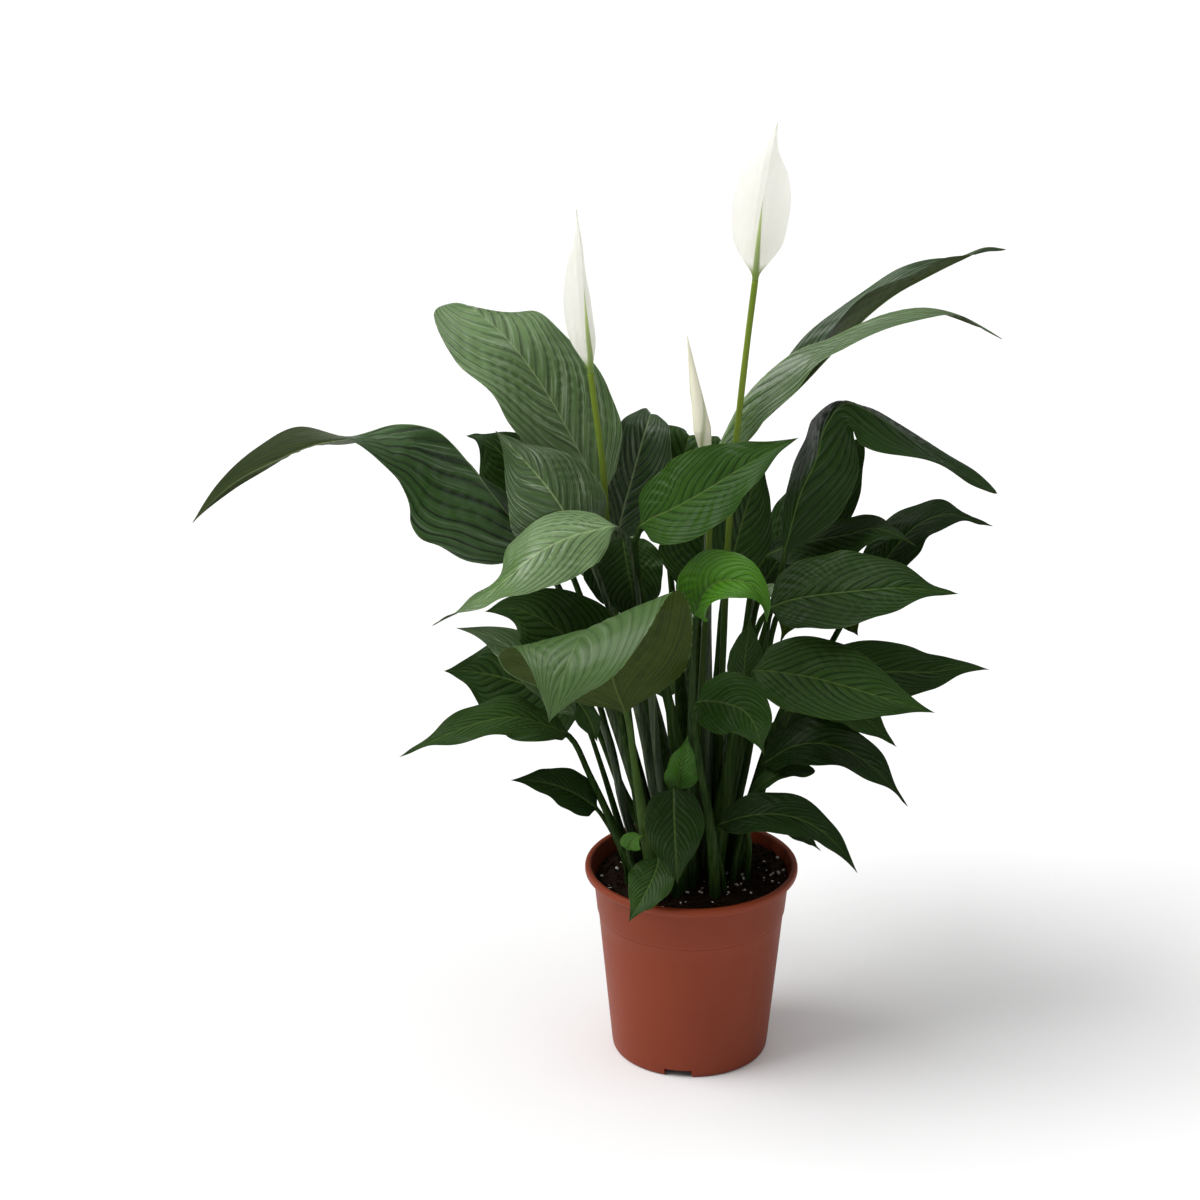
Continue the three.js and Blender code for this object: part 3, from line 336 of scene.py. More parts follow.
# ---- materials
class Wire:
    """A shader value: arithmetic on it adds Math nodes."""

    def __init__(self, paint, socket):
        self.paint, self.socket = paint, socket

    def _do(self, operation, *values):
        return self.paint.node("ShaderNodeMath", {"operation": operation}, *values)

    def __add__(self, other):
        return self._do("ADD", self, other)

    def __radd__(self, other):
        return self._do("ADD", other, self)

    def __sub__(self, other):
        return self._do("SUBTRACT", self, other)

    def __rsub__(self, other):
        return self._do("SUBTRACT", other, self)

    def __mul__(self, other):
        return self._do("MULTIPLY", self, other)

    def __rmul__(self, other):
        return self._do("MULTIPLY", other, self)

    def __truediv__(self, other):
        return self._do("DIVIDE", self, other)

    def __rtruediv__(self, other):
        return self._do("DIVIDE", other, self)

    def __abs__(self):
        return self._do("ABSOLUTE", self)

    def sine(self):
        return self._do("SINE", self)

    def fraction(self):
        return self._do("FRACT", self)

    def step(self, low, high):
        """0 below low and 1 above high, smooth between."""
        settings = {"interpolation_type": "SMOOTHSTEP"}
        values = {"Value": self, "From Min": low, "From Max": high}
        return self.paint.node("ShaderNodeMapRange", settings, **values)


class Paint:
    """One material and the nodes that feed its shader."""

    def __init__(self, name, **constants):
        self.material = bpy.data.materials.new(name)
        self.material.use_nodes = True
        self.tree = self.material.node_tree
        self.shader = self.tree.nodes["Principled BSDF"]
        for socket, value in constants.items():
            self.shader.inputs[socket.replace("_", " ")].default_value = value

    def node(self, kind, settings, *values, output=None, **named):
        """Adds a node, sets it up, fills its sockets and returns the named output, or else its first."""
        made = self.tree.nodes.new(kind)
        for key, value in settings.items():
            setattr(made, key, value)
        free = [s for s in made.inputs if s.enabled]
        for socket, value in zip(free, values):
            self.fill(socket, value)
        for key, value in named.items():
            self.fill(next(s for s in free if s.name == key), value)
        return Wire(self, made.outputs[output] if output else next(s for s in made.outputs if s.enabled))

    def fill(self, socket, value):
        if isinstance(value, Wire):
            self.tree.links.new(value.socket, socket)
        elif socket.type == "RGBA":
            socket.default_value = (*value, 1)
        else:
            socket.default_value = value

    def blend(self, share, a, b):
        return self.node("ShaderNodeMix", {"data_type": "RGBA"}, share, a, b)

    def place(self):
        """Where a point of the object is, in metres."""
        return self.node("ShaderNodeTexCoord", {}, output="Object")

    def cloud(self, place, scale, detail, roughness):
        values = {"Vector": place, "Scale": scale, "Detail": detail, "Roughness": roughness}
        return self.node("ShaderNodeTexNoise", {}, **values)

    def noise(self, scale, detail=3, stretch=None, roughness=0.55):
        """Noise all through the object, finer where stretch is large."""
        place = self.place()
        if stretch:
            place = self.node("ShaderNodeMapping", {}, Vector=place, Scale=stretch)
        return self.cloud(place, scale, detail, roughness)

    def numbers(self, vector):
        """The three numbers of a vector."""
        first = self.node("ShaderNodeSeparateXYZ", {}, vector)
        return [Wire(self, socket) for socket in first.socket.node.outputs]

    def height(self):
        """Height above the floor in metres."""
        return self.numbers(self.place())[2]

    def attribute(self, name):
        """The three numbers of a vector attribute."""
        return self.numbers(self.node("ShaderNodeAttribute", {"attribute_name": name}, output="Vector"))

    def finish(self, colour, roughness, bump=None, depth=0.0):
        """Joins everything to the shader. Where bump is 1 the surface stands out by depth in metres."""
        self.fill(self.shader.inputs["Base Color"], colour)
        self.fill(self.shader.inputs["Roughness"], roughness)
        if bump is not None:
            normal = self.node("ShaderNodeBump", {}, Height=bump, Distance=depth, Strength=1.0)
            self.fill(self.shader.inputs["Normal"], normal)
        return self.material


def tint(red, green, blue):
    """A colour given as it looks on screen, 0 to 255, as the shader takes it."""
    shares = (red / 255, green / 255, blue / 255)
    return tuple(c / 12.92 if c <= 0.04045 else ((c + 0.055) / 1.055) ** 2.4 for c in shares)


def settings():
    return bpy.context.scene.peace_lily


def colour_property(name, description, default):
    return FloatVectorProperty(
        name=name, description=description, subtype="COLOR", size=3, min=0, max=1, default=default
    )


def length_property(name, description, default):
    return FloatProperty(
        name=name, description=description, default=default, min=0, unit="LENGTH", precision=5
    )


def leaf_material(name, top, bright, rib, under, stalk, gloss, stripes):
    """Stalk and blade of a leaf. Gloss 1 is a wet shine, and gloss also sets how strong the painted highlight
    is: pale sheen streaks along the ridges between the side veins. Stripes is how dark the painted shade in
    the grooves along its side veins is.
    """
    shine = min(gloss, 1)
    # the darker copy of the top green is painted shade for the grooves; pale is the colour of the painted
    # sheen streaks
    painted_shade, pale = [c * 0.45 for c in top], [mix(c, 0.55, 0.12 + 0.3 * shine) for c in bright]
    paint = Paint(name, Coat_Weight=0.3 * gloss, Coat_Roughness=0.26, Specular_IOR_Level=0.4 * gloss)
    side, along, below = paint.attribute("blade")
    phase, reach, tone = paint.attribute("vein")
    patches, mottle = paint.noise(11, 3), paint.noise(75, 4)
    lower = below.step(0.3, 0.7)
    blade_part = along.step(0.0, 0.05)
    off = abs((phase + 0.5).fraction() - 0.5) * 2  # 0 on a side vein, 1 midway between two
    lengthwise = paint.node("ShaderNodeCombineXYZ", {}, phase * 2.6, side * 0.9, tone * 9)
    streak = paint.cloud(lengthwise, 2.2, 4, 0.6)  # runs along the side veins
    midrib = (1 - reach.step(0.25, 1.1)) * (1 - along.step(0.5, 1.0) * 0.8)  # fades towards the tip
    edge = abs(side).step(0.97, 1.0)
    light = (patches * 0.8 + mottle * 0.15 + tone * 0.5 - 0.3).step(0.1, 0.95)
    colour = paint.blend(light, top, bright)
    # painted shade: the grooves along the side veins are darkened, broken up by the streaks
    painted_groove_shade, between = 1 - off.step(0.0, 0.6), off.step(0.1, 0.6)
    colour = paint.blend(painted_groove_shade * (1 - streak.step(0.45, 0.7)) * stripes, colour, painted_shade)
    # painted highlight: pale sheen streaks along the ridges between the side veins, stronger on glossier
    # leaves
    colour = paint.blend(streak.step(0.5, 0.68) * between * (0.18 + 0.5 * shine), colour, pale)
    colour = paint.blend(edge * 0.25, colour, rib)
    dull = paint.blend((1 - streak.step(0.36, 0.62)) * 0.7, under, [c * 0.4 for c in under])
    colour = paint.blend(lower, colour, dull)
    colour = paint.blend(midrib * 0.5, colour, rib)
    fibres = paint.noise(60, 3, stretch=(8, 8, 0.22))
    green_stalk = paint.blend(fibres.step(0.3, 0.9) * 0.28, stalk, rib)
    colour = paint.blend(blade_part, green_stalk, colour)
    rough = (0.32 + 0.12 * (1 - shine) + mottle * 0.1 + patches * 0.06) + lower * 0.34
    rough = rough * blade_part + (1 - blade_part) * 0.92  # stalks are dull
    height = (off.step(0.0, 0.4) * 0.5 + streak * 0.5) * blade_part + mottle * 0.25
    return paint.finish(colour, rough, height, 0.0005)


# ---- leaves
class LeafSettings(bpy.types.PropertyGroup):
    """Sizes and colours of the leaves."""

    thickness: length_property("Thickness", "Thickness of a blade beside its midrib", 0.6 * MM)
    quilting: length_property("Quilting", "Height of the blade between two side veins", 2.1 * MM)
    ruffle: length_property("Ruffle", "Height of the small waves of a margin", 1.5 * MM)
    channel: length_property("Channel", "Depth of the midrib's channel", 0.8 * MM)
    veins: IntProperty(name="Side veins", description="Side veins on each half", default=13, min=4, max=40)
    green: colour_property("Mature green", "Darkest green of a grown leaf", tint(25, 49, 9))
    bright: colour_property("Mature green, lit parts", "Lightest green of a grown leaf", tint(52, 82, 28))
    # painted light: mid and outer are paler greens that stand in for the light on the arching and the outer
    # leaves
    mid: colour_property("Arching leaf", "Lightest green of a leaf in the light", tint(62, 100, 40))
    outer: colour_property("Outer leaf", "Lightest green of a leaf that hangs free", tint(112, 146, 82))
    rib: colour_property("Midrib", "Colour of a grown leaf's midrib", tint(92, 114, 56))
    under: colour_property("Underside", "Colour of a grown leaf's underside", tint(54, 72, 8))
    stalk: colour_property("Stalk", "Colour of a stalk and its sheath", tint(18, 42, 2))
    young: colour_property("Young green", "Darkest green of a young leaf", tint(50, 96, 12))
    young_bright: colour_property("Young, lit parts", "Lightest green of a young leaf", tint(84, 138, 26))
    # painted light: this pale green stands in for the light that falls on the flap of the turned-over leaf
    pale: colour_property("Pale green", "Colour of a leaf that turns its dull face out", tint(70, 96, 50))


YOUNG_LEAVES = ("leaf_front_1", "leaf_front_4", "leaf_front_6", "leaf_front_8")
# What a leaf's form says: how far its blade's end is rounded off, how wide its left and right halves are,
# the share of its length that is used, how drawn out its tip is, over which share of its length its
# section is evened out, and how much wider than the stalk its sheath is.
PLAIN_FORM = {"blunt": 0, "left": 1, "right": 1, "reach": 1, "taper": 0.3, "steady": STEADY, "sheath": 0.45}
Form = namedtuple("Form", PLAIN_FORM, defaults=PLAIN_FORM.values())
FORMS = {
    **dict.fromkeys(("leaf_left_3", "leaf_left_4", "leaf_front_1", "leaf_front_10"), Form(sheath=1.2)),
    **dict.fromkeys(("leaf_front_2", "leaf_front_7"), Form(sheath=1)),
    **dict.fromkeys(("leaf_right_9", "leaf_right_10"), Form(sheath=0.9)),
    **dict.fromkeys(("leaf_back_2", "leaf_back_3"), Form(left=1.25, right=1.25, sheath=1.6)),
    "leaf_left_1": Form(steady=0.12, sheath=1.2),
    "leaf_left_2": Form(blunt=1, reach=0.78, taper=0, sheath=1.2),
    "leaf_front_8": Form(sheath=0.8),
    "leaf_front_9": Form(blunt=0.5, right=1.25, sheath=1.6),
    "leaf_right_5": Form(blunt=1, left=1.4, right=1.4, taper=0),
    "leaf_right_12": Form(left=1.3, right=1.3),
    "leaf_right_13": Form(left=1.3, right=1.3, sheath=1.2),
    "leaf_right_14": Form(blunt=0.3, left=1.15, right=1.15, sheath=1.4),
    "leaf_right_15": Form(blunt=0.3, left=1.1, right=1.1, sheath=1.4),
    "leaf_right_16": Form(blunt=0.6, left=1.15, right=1.1, sheath=1.4),
    "leaf_right_17": Form(blunt=0.9, right=1.25, sheath=1.2),
    "leaf_back_1": Form(sheath=1.6),
    "leaf_back_4": Form(blunt=0.3, left=1.35, right=1.2, sheath=1.6),
    "leaf_back_5": Form(sheath=1.4),
    "leaf_back_6": Form(left=1.3, right=1.3, sheath=1.4),
    "leaf_back_9": Form(left=1.2, right=1.2, sheath=1.2),
}
LIT_OUTER_LEAVES = (  # painted light: these get paler greens, a paler midrib and margin and painted sheen streaks, as leaves that hang free in the light look
    "leaf_left_2", "leaf_left_4", "leaf_left_5", "leaf_left_7", "leaf_right_15", "leaf_back_5", "leaf_back_7",
)
# painted light: these get paler greens, a paler midrib and margin and strong painted sheen streaks where they
# are lit
LIT_ARCHING_LEAVES = ("leaf_left_1", "leaf_right_14", "leaf_back_1", "leaf_back_6")
FRESH_LEAVES = ("leaf_front_1", "leaf_front_7")  # between young and grown in colour
HALF_COLUMNS = 15  # columns on each half of a blade, on each face
LOOP = 4 * HALF_COLUMNS  # all columns, over the upper face and back underneath
STALK_ROWS = 22
SHEATH_DEPTH = 0.45  # how much of a sheath's extra width its thickness has
ROW_STEP = 2.0 * MM  # between two rows of a blade
FEWEST_ROWS, MOST_ROWS = 48, 130
BLEND_OUT = 0.09  # the round stalk has become a flat blade at this share of it
VEIN_LEAN = 0.5  # how far along the blade a side vein runs on its way to the margin
RIB_WIDTH = 1.5 * MM
CHANNEL_WIDTH = 1.1 * MM
CALM_RIB = 4 * MM  # the quilting starts about this far from the midrib
LOWEST_KEEL = 0.2 * MM
FULL_HALF = 30 * MM  # a blade whose half is narrower has flatter quilting and waves
NEAR = 0.01  # half of the share of a blade over which its direction is taken
FIRST_SIDE = 0.02  # nearer its base a blade has the side direction that it has here


def blade_side(blade, form, t):
    """The direction from a blade's left margin to its right one."""
    row = blade.row(max(t, FIRST_SIDE), form)
    return (row[3] - row[0]).normalized()


def bell(x, width):
    return math.exp(-((x / width) ** 2))


def half_thickness(thickness, u):
    """A blade is thin at its margins, where u is -1 and 1."""
    return thickness / 2 * math.sqrt(max(0.0, 1 - abs(u) ** 6))


def go_round(column, way, side_axis, wide, deep):
    """Whether a column of a blade is on its upper face, its share of the width, from -1 at one margin to
    1 at the other, and its place on a stalk with the radii wide and deep."""
    over = column <= LOOP // 2
    v = -1 + 4 * column / LOOP if over else 3 - 4 * column / LOOP
    side = (side_axis - way * side_axis.dot(way)).normalized()
    up = side.cross(way).normalized()
    angle = math.pi / 2 * (1 - v)
    facing = 1 if over else -1
    on_stalk = side * (wide * math.cos(angle)) + up * (deep * math.sin(angle) * facing)
    return over, v - 0.1 * math.sin(math.tau * v), on_stalk


def make_leaf(node, name, material, values):
    """Builds one leaf: a stalk whose sheath narrows upwards, and the quilted blade that it turns into."""
    rings, (foot, tip) = read_rings(node, BLADE_POINTS)
    look = -OVER_LOOK if node in TURNED_OVER else OVER_LOOK
    align_rings(rings, STALK_RINGS + 2, look, tip)
    blade = Blade(rings[STALK_RINGS:], tip)
    form = FORMS.get(node, Form())
    chance = random.Random(node)
    tone, beat, start = chance.random(), chance.uniform(2.6, 4.8), chance.uniform(0, 6.28)
    slender = min(1, blade.half / FULL_HALF)

    stalk_centres = [middle(ring) for ring in rings[: STALK_RINGS + 1]]
    stalk_centres[0] = foot
    radii = [(ring[0] - centre).length for ring, centre in zip(rings, stalk_centres)]
    knots = distances(stalk_centres)
    below = [(k - knots[-1]) / blade.length for k in knots]
    line = Through([*below, *blade.rib.stations[1:]], [*stalk_centres, *blade.rib.values[1:]])
    girth = Through(knots, radii)
    stalk_sides = [(r[4] + r[5] - r[0] - r[9]).normalized() for r in rings[:STALK_RINGS]]
    side_axes = Through(below, [*stalk_sides, blade_side(blade, form, 0)])
    count = int(min(max(blade.length / ROW_STEP, FEWEST_ROWS), MOST_ROWS))
    rows = []
    for i in range(STALK_ROWS):
        s = below[0] * (1 - i / STALK_ROWS)
        way = (line(s + NEAR) - line(max(s - NEAR, below[0]))).normalized()
        sheath = form.sheath * (1 - smooth(i / STALK_ROWS, 0.3, 0.9))
        size = girth(knots[-1] * i / STALK_ROWS)
        sizes = size * (1 + sheath), size * (1 + sheath * SHEATH_DEPTH)
        rows.append((line(s), way, side_axes(s), sizes, -1 + i / STALK_ROWS, None))
    for i in range(count + 1):
        t = i / count
        s = t * form.reach
        way = (line(min(s + NEAR, 1)) - line(s - NEAR)).normalized()
        sizes = girth(knots[-1]), girth(knots[-1])
        rows.append((line(s), way, blade_side(blade, form, t), sizes, t, blade.row(t, form)))

    def place(column, row):
        centre, way, side_axis, (wide, deep), t, lanes = rows[row]
        over, u, on_stalk = go_round(column, way, side_axis, wide, deep)
        if lanes is None:
            return centre + on_stalk, (u, t, 0), (0, abs(u) * 9, tone)
        offset, slope = across(lanes, u)
        normal = slope.cross(way).normalized()
        reach = offset.length
        a = abs(u)
        # The phase grows by 1 from one side vein to the next. The quilting dies out at the midrib, at the
        # margin, at the base and at the tip.
        phase = values.veins * (t - VEIN_LEAN * (0.6 * a + 0.4 * a**3)) + start
        phase += 0.22 * math.sin(5 * t + 3 * u + start) + 0.1 * math.sin(17 * t - 4 * u)
        window = (1 - bell(reach, CALM_RIB)) * (1 - a**4)
        window *= smooth(t, 0.02, 0.14) * (1 - smooth(t, 0.82, 1))
        window *= 0.75 + 0.35 * math.sin(3.1 * t * beat + 2.3 * u + start)
        ridge = abs(math.sin(math.pi * phase)) ** 0.8
        lift = values.quilting * slender * window * (ridge - 0.6)
        wave = math.sin(beat * math.tau * t + start + 2 * u) + 0.2 * math.sin(beat * 9.7 * t)
        ruffle = values.ruffle * slender * a**3 * wave
        lift += ruffle * smooth(t, 0.05, 0.2) * (1 - smooth(t, 0.9, 1))
        thick = half_thickness(values.thickness, u)
        if over:
            channel = values.channel * max(0.12, 1 - t) ** 0.5
            lift += thick - channel * bell(reach, CHANNEL_WIDTH)
        else:
            keel = deep * (1 - t) ** 0.8 + LOWEST_KEEL
            lift -= thick + keel * bell(reach, RIB_WIDTH)
        shape = on_stalk.lerp(offset + normal * lift, smooth(t, 0, BLEND_OUT))
        return centre + shape, (u, t, 0 if over else 1), (phase, reach / MM, tone)

    bm = sheet_mesh(LOOP, len(rows) - 1, place, ("blade", "vein"))
    sharpen_margins(bm)
    return finish_piece(bm, name, node, material)


class PEACELILY_OT_leaves(bpy.types.Operator):
    """Builds every leaf, with its stalk, from the sections of its CAD node"""

    bl_idname = "peace_lily.leaves"
    bl_label = "Leaves"

    def execute(self, context):
        values = settings().leaves
        grown, young = (values.green, values.bright), (values.young, values.young_bright)
        fresh = [
            [mix(old, new, 0.16) * share for old, new, share in zip(*pair, (0.8, 0.88, 0.6))]
            for pair in zip(grown, young)
        ]
        usual = values.rib, values.under, values.stalk
        # painted light: leaves in the light get this paler colour for their midrib, margin and stalk streaks
        in_light = tint(158, 180, 124), values.under, values.stalk
        on_light_stalk = values.rib, values.under, tint(46, 72, 14)
        leaves = sorted(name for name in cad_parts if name.startswith("leaf_"))
        looks = (  # name, greens, other colours, gloss, stripes, and the leaves that look like this
            ("grown leaf", grown, usual, 0.2, 0.7, leaves),
            ("outer leaf", (values.bright, values.outer), in_light, 1.2, 0.6, LIT_OUTER_LEAVES),
            ("young leaf", young, usual, 0.4, 0.5, YOUNG_LEAVES),
            ("fresh leaf", fresh, usual, 0.25, 0.6, FRESH_LEAVES),
            ("arching leaf", (values.green, values.mid), in_light, 0.7, 1, LIT_ARCHING_LEAVES),
            # painted light: the turned-over leaf's pale green stands in for the light on its flap
            ("pale leaf", (values.pale, values.pale), on_light_stalk, 0.4, 0.5, TURNED_OVER),
        )
        materials = {}
        for name, greens, others, gloss, stripes, nodes in looks:
            materials |= dict.fromkeys(nodes, leaf_material(name, *greens, *others, gloss, stripes))
        for node in leaves:
            _, side, number = node.split("_")
            make_leaf(node, f"{side}_leaf_{number}", materials[node], values)
        return {"FINISHED"}


# ---- flowers
class FlowerSettings(bpy.types.PropertyGroup):
    """Sizes and colours of the blooms and of the bud."""

    white: colour_property("Spathe", "Colour of an open spathe", tint(237, 236, 226))
    green: colour_property("Spathe's midrib", "Green of a spathe's midrib and base", tint(120, 150, 62))
    cream: colour_property("Spadix", "Colour of the spadix", tint(232, 224, 176))
    scape: colour_property("Flower stalk", "Colour of a flower stalk", tint(100, 124, 36))
    bud: colour_property("Bud", "Colour of the rolled spathe", tint(244, 240, 212))
    thickness: length_property("Spathe thickness", "Thickness of a spathe", 0.6 * MM)


def spathe_material(values):
    """White, with light that passes through it, and a painted glow: a faint emission in its own colour,
    though it is no lamp, that brightens its shaded half. A green midrib underneath narrows to the tip.
    """
    # painted light: the emission strength makes the spathe glow faintly
    through = {"Subsurface_Scale": 0.004, "Subsurface_Radius": (1, 1, 0.9), "Emission_Strength": 0.17}
    paint = Paint("spathe", Subsurface_Weight=0.6, **through)
    _, along, below = paint.attribute("blade")
    _, reach, _ = paint.attribute("vein")
    wedge = (1 - along.step(0.1, 0.58)) * 2.7 + 0.01
    midrib = (1 - (reach / wedge).step(0.55, 1.0)) * below.step(0.3, 0.7)
    base = 1 - along.step(0.03, 0.12)  # the round foot, all green
    lines = abs((reach * 0.55).fraction() - 0.5) * 2
    grain = paint.noise(60, 3)
    colour = paint.blend(grain * 0.35, values.white, tint(214, 213, 192))
    colour = paint.blend((1 - lines.step(0.0, 0.4)) * 0.07, colour, values.green)
    colour = paint.blend(along.step(0.93, 1.0) * 0.5, colour, values.green)
    midrib_green = paint.blend(along.step(0.08, 0.4), values.scape, tint(146, 166, 82))
    colour = paint.blend(base, paint.blend(midrib * 0.9, colour, midrib_green), values.scape)
    height = lines.step(0.0, 0.5) * 0.6 + grain * 0.4
    # painted glow: the emission takes the spathe's own colour
    paint.fill(paint.shader.inputs["Emission Color"], colour)
    return paint.finish(colour, 0.45 + grain * 0.12, height, 0.0002)


SCAPE_GIRTH = 0.88  # a flower stalk's thickness as a share of the CAD stalk's
SPATHE_FOLD = 0.3  # share of a spathe's width over which its fold is rounded off
SPATHE_ROWS = 90
SPATHE_KEEL = 2.4 * MM  # radius of the midrib underneath at the spathe's base
SPATHE_RIDGE, RIDGE_WIDTH = 0.2 * MM, 1.2 * MM  # what is left of it towards the tip


def make_spathe(node, name, material, values):
    """Builds one open spathe, which starts round, as wide as its flower stalk."""
    rings, (foot, tip) = read_rings(node, BLADE_POINTS)
    align_rings(rings, 3, Vector((0, 1, 0)), tip)
    blade = Blade(rings, tip)
    blade.rib = Through([0, *blade.rib.stations], [foot, *blade.rib.values])
    first = rings[0]
    side_axis = (first[4] + first[5] - first[0] - first[9]).normalized()
    stalk_rings, _ = read_rings(node.replace("spathe", "scape"), STEM_POINTS)
    radius = SCAPE_GIRTH * (stalk_rings[-1][0] - middle(stalk_rings[-1])).length
    rows = []
    for i in range(SPATHE_ROWS + 1):
        t = i / SPATHE_ROWS
        way = (blade.rib(min(t + NEAR, 1)) - blade.rib(max(t - NEAR, 0))).normalized()
        rows.append((blade.rib(t), way, t, blade.row(t, Form(taper=0))))

    def place(column, row):
        centre, way, t, lanes = rows[row]
        over, u, on_stalk = go_round(column, way, side_axis, radius, radius)
        rib, _ = across(lanes, 0, SPATHE_FOLD)
        offset, slope = across(lanes, u, SPATHE_FOLD)
        normal = slope.cross(way).normalized()
        narrow_tip, narrow_base = smooth(t, 0.66, 0.88), 1 - smooth(t, 0.05, 0.24)
        offset = offset * (1 - 0.42 * narrow_tip) * (1 - 0.3 * narrow_base)
        reach, a = (offset - rib).length, abs(u)
        lift = half_thickness(values.thickness, u) * (1 if over else -1)
        lift += 0.25 * MM * math.sin(reach / MM * 1.1) * (1 - a**4) * smooth(t, 0.05, 0.2)  # fine furrows
        if not over:
            keel = SPATHE_KEEL * (1 - smooth(t, 0.0, 0.6))
            lift -= math.sqrt(max(0.0, keel * keel - reach * reach)) + SPATHE_RIDGE * bell(reach, RIDGE_WIDTH)
        shape = on_stalk.lerp(offset + normal * lift, smooth(t, 0, BLEND_OUT))
        return centre + shape, (u, t, 0 if over else 1), (0, reach / MM, 0.5)

    bm = sheet_mesh(LOOP, SPATHE_ROWS, place, ("blade", "vein"))
    sharpen_margins(bm)
    return finish_piece(bm, name, node, material)


class PEACELILY_OT_spathes(bpy.types.Operator):
    """Builds the two open spathes"""

    bl_idname = "peace_lily.spathes"
    bl_label = "Spathes"

    def execute(self, context):
        values = settings().flowers
        material = spathe_material(values)
        for number in (1, 2):
            make_spathe(f"spathe_{number}", f"open_spathe_{number}", material, values)
        return {"FINISHED"}


KNOB_ROWS, KNOBS = 22, 12  # small flowers along and round a spadix
SPADIX_COLUMNS, SPADIX_ROWS = 84, KNOB_ROWS * 5
SPADIX_RISE = 4 * MM  # how much higher than the CAD spadix its stipe, the bare stalk below, begins
STIPE, STIPE_RADIUS = 10 * MM, 1.1 * MM
KNOB_SWELL = 1.12  # a spadix with its small flowers is this much thicker than without


def measure_upright(node, rise=0.0):
    """The foot, direction, length and greatest radius of an upright CAD node, with its foot raised."""
    points = [v.co.copy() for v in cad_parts[node].data.vertices]
    low = min(points, key=lambda p: p.z)
    high = max(points, key=lambda p: p.z)
    axis = (high - low).normalized()
    low = low + axis * rise
    reach = max((p - low - axis * (p - low).dot(axis)).length for p in points)
    return low, axis, (high - low).length, reach


class PEACELILY_OT_spadices(bpy.types.Operator):
    """Builds the knobbly spikes inside the open spathes"""

    bl_idname = "peace_lily.spadices"
    bl_label = "Spadices"

    def execute(self, context):
        values = settings().flowers
        paint = Paint("spadix", Specular_IOR_Level=0.35)
        height, stipe, _ = paint.attribute("knob")
        grain = paint.noise(300, 2)
        # painted shade: darker in the gaps between the small flowers, lighter on their tops
        colour = paint.blend(height, tint(178, 168, 104), values.cream)
        colour = paint.blend(grain * 0.3, colour, tint(244, 240, 210))
        colour = paint.blend(stipe, colour, values.green)
        material = paint.finish(colour, 0.62 + grain * 0.1, grain, 0.0002)
        for number in (1, 2):
            self.build(number, material)
        return {"FINISHED"}

    def build(self, number, material):
        node = f"spadix_{number}"
        low, axis, length, reach = measure_upright(node, SPADIX_RISE)
        side = axis.orthogonal().normalized()
        other = axis.cross(side)

        def place(column, row):
            t = row / SPADIX_ROWS
            out, angle = spoke(side, other, column, SPADIX_COLUMNS)
            line = t * KNOB_ROWS
            turn = angle * KNOBS / math.tau + 0.5 * math.floor(line)
            bump = math.sqrt(abs(math.sin(math.pi * line) * math.sin(math.pi * turn)))
            on_stipe = t < STIPE / length
            if on_stipe:
                radius = STIPE_RADIUS if t > 0 else 0
            else:
                body = reach * min(1, 1.6 * math.sqrt(max(0, 1 - t)), 0.75 + t) / KNOB_SWELL
                radius = body * (0.9 + 0.22 * bump)
            return low + axis * (length * t) + out * radius, (bump, float(on_stipe), 0)

        bm = sheet_mesh(SPADIX_COLUMNS, SPADIX_ROWS, place, ("knob",))
        finish_piece(bm, f"flower_spike_{number}", node, material)


SCAPE_ROWS, SCAPE_COLUMNS = 150, 20
SPATHE_FOOT_SHARE = 0.4  # a flower stalk ends this far up between its spathe's foot and first section


def stem_material(name, colour, pale):
    """Streaked lengthwise, with painted shade that darkens it low down between the leaves."""
    paint = Paint(name, Specular_IOR_Level=0.12)
    streaks = paint.noise(40, 3, stretch=(6, 6, 0.35))
    grain = paint.noise(180, 2)
    painted_shade = [part * share for part, share in zip(colour, (0.18, 0.26, 0.2))]
    mixed = paint.blend(streaks * 0.55, colour, pale)
    # painted shade: darker below 0.56 m and fully so below 0.36 m, where the leaves shade it
    mixed = paint.blend(1 - paint.height().step(0.36, 0.56), mixed, painted_shade)
    return paint.finish(mixed, 0.4 + grain * 0.14, streaks * 0.7 + grain * 0.2, 0.0003)


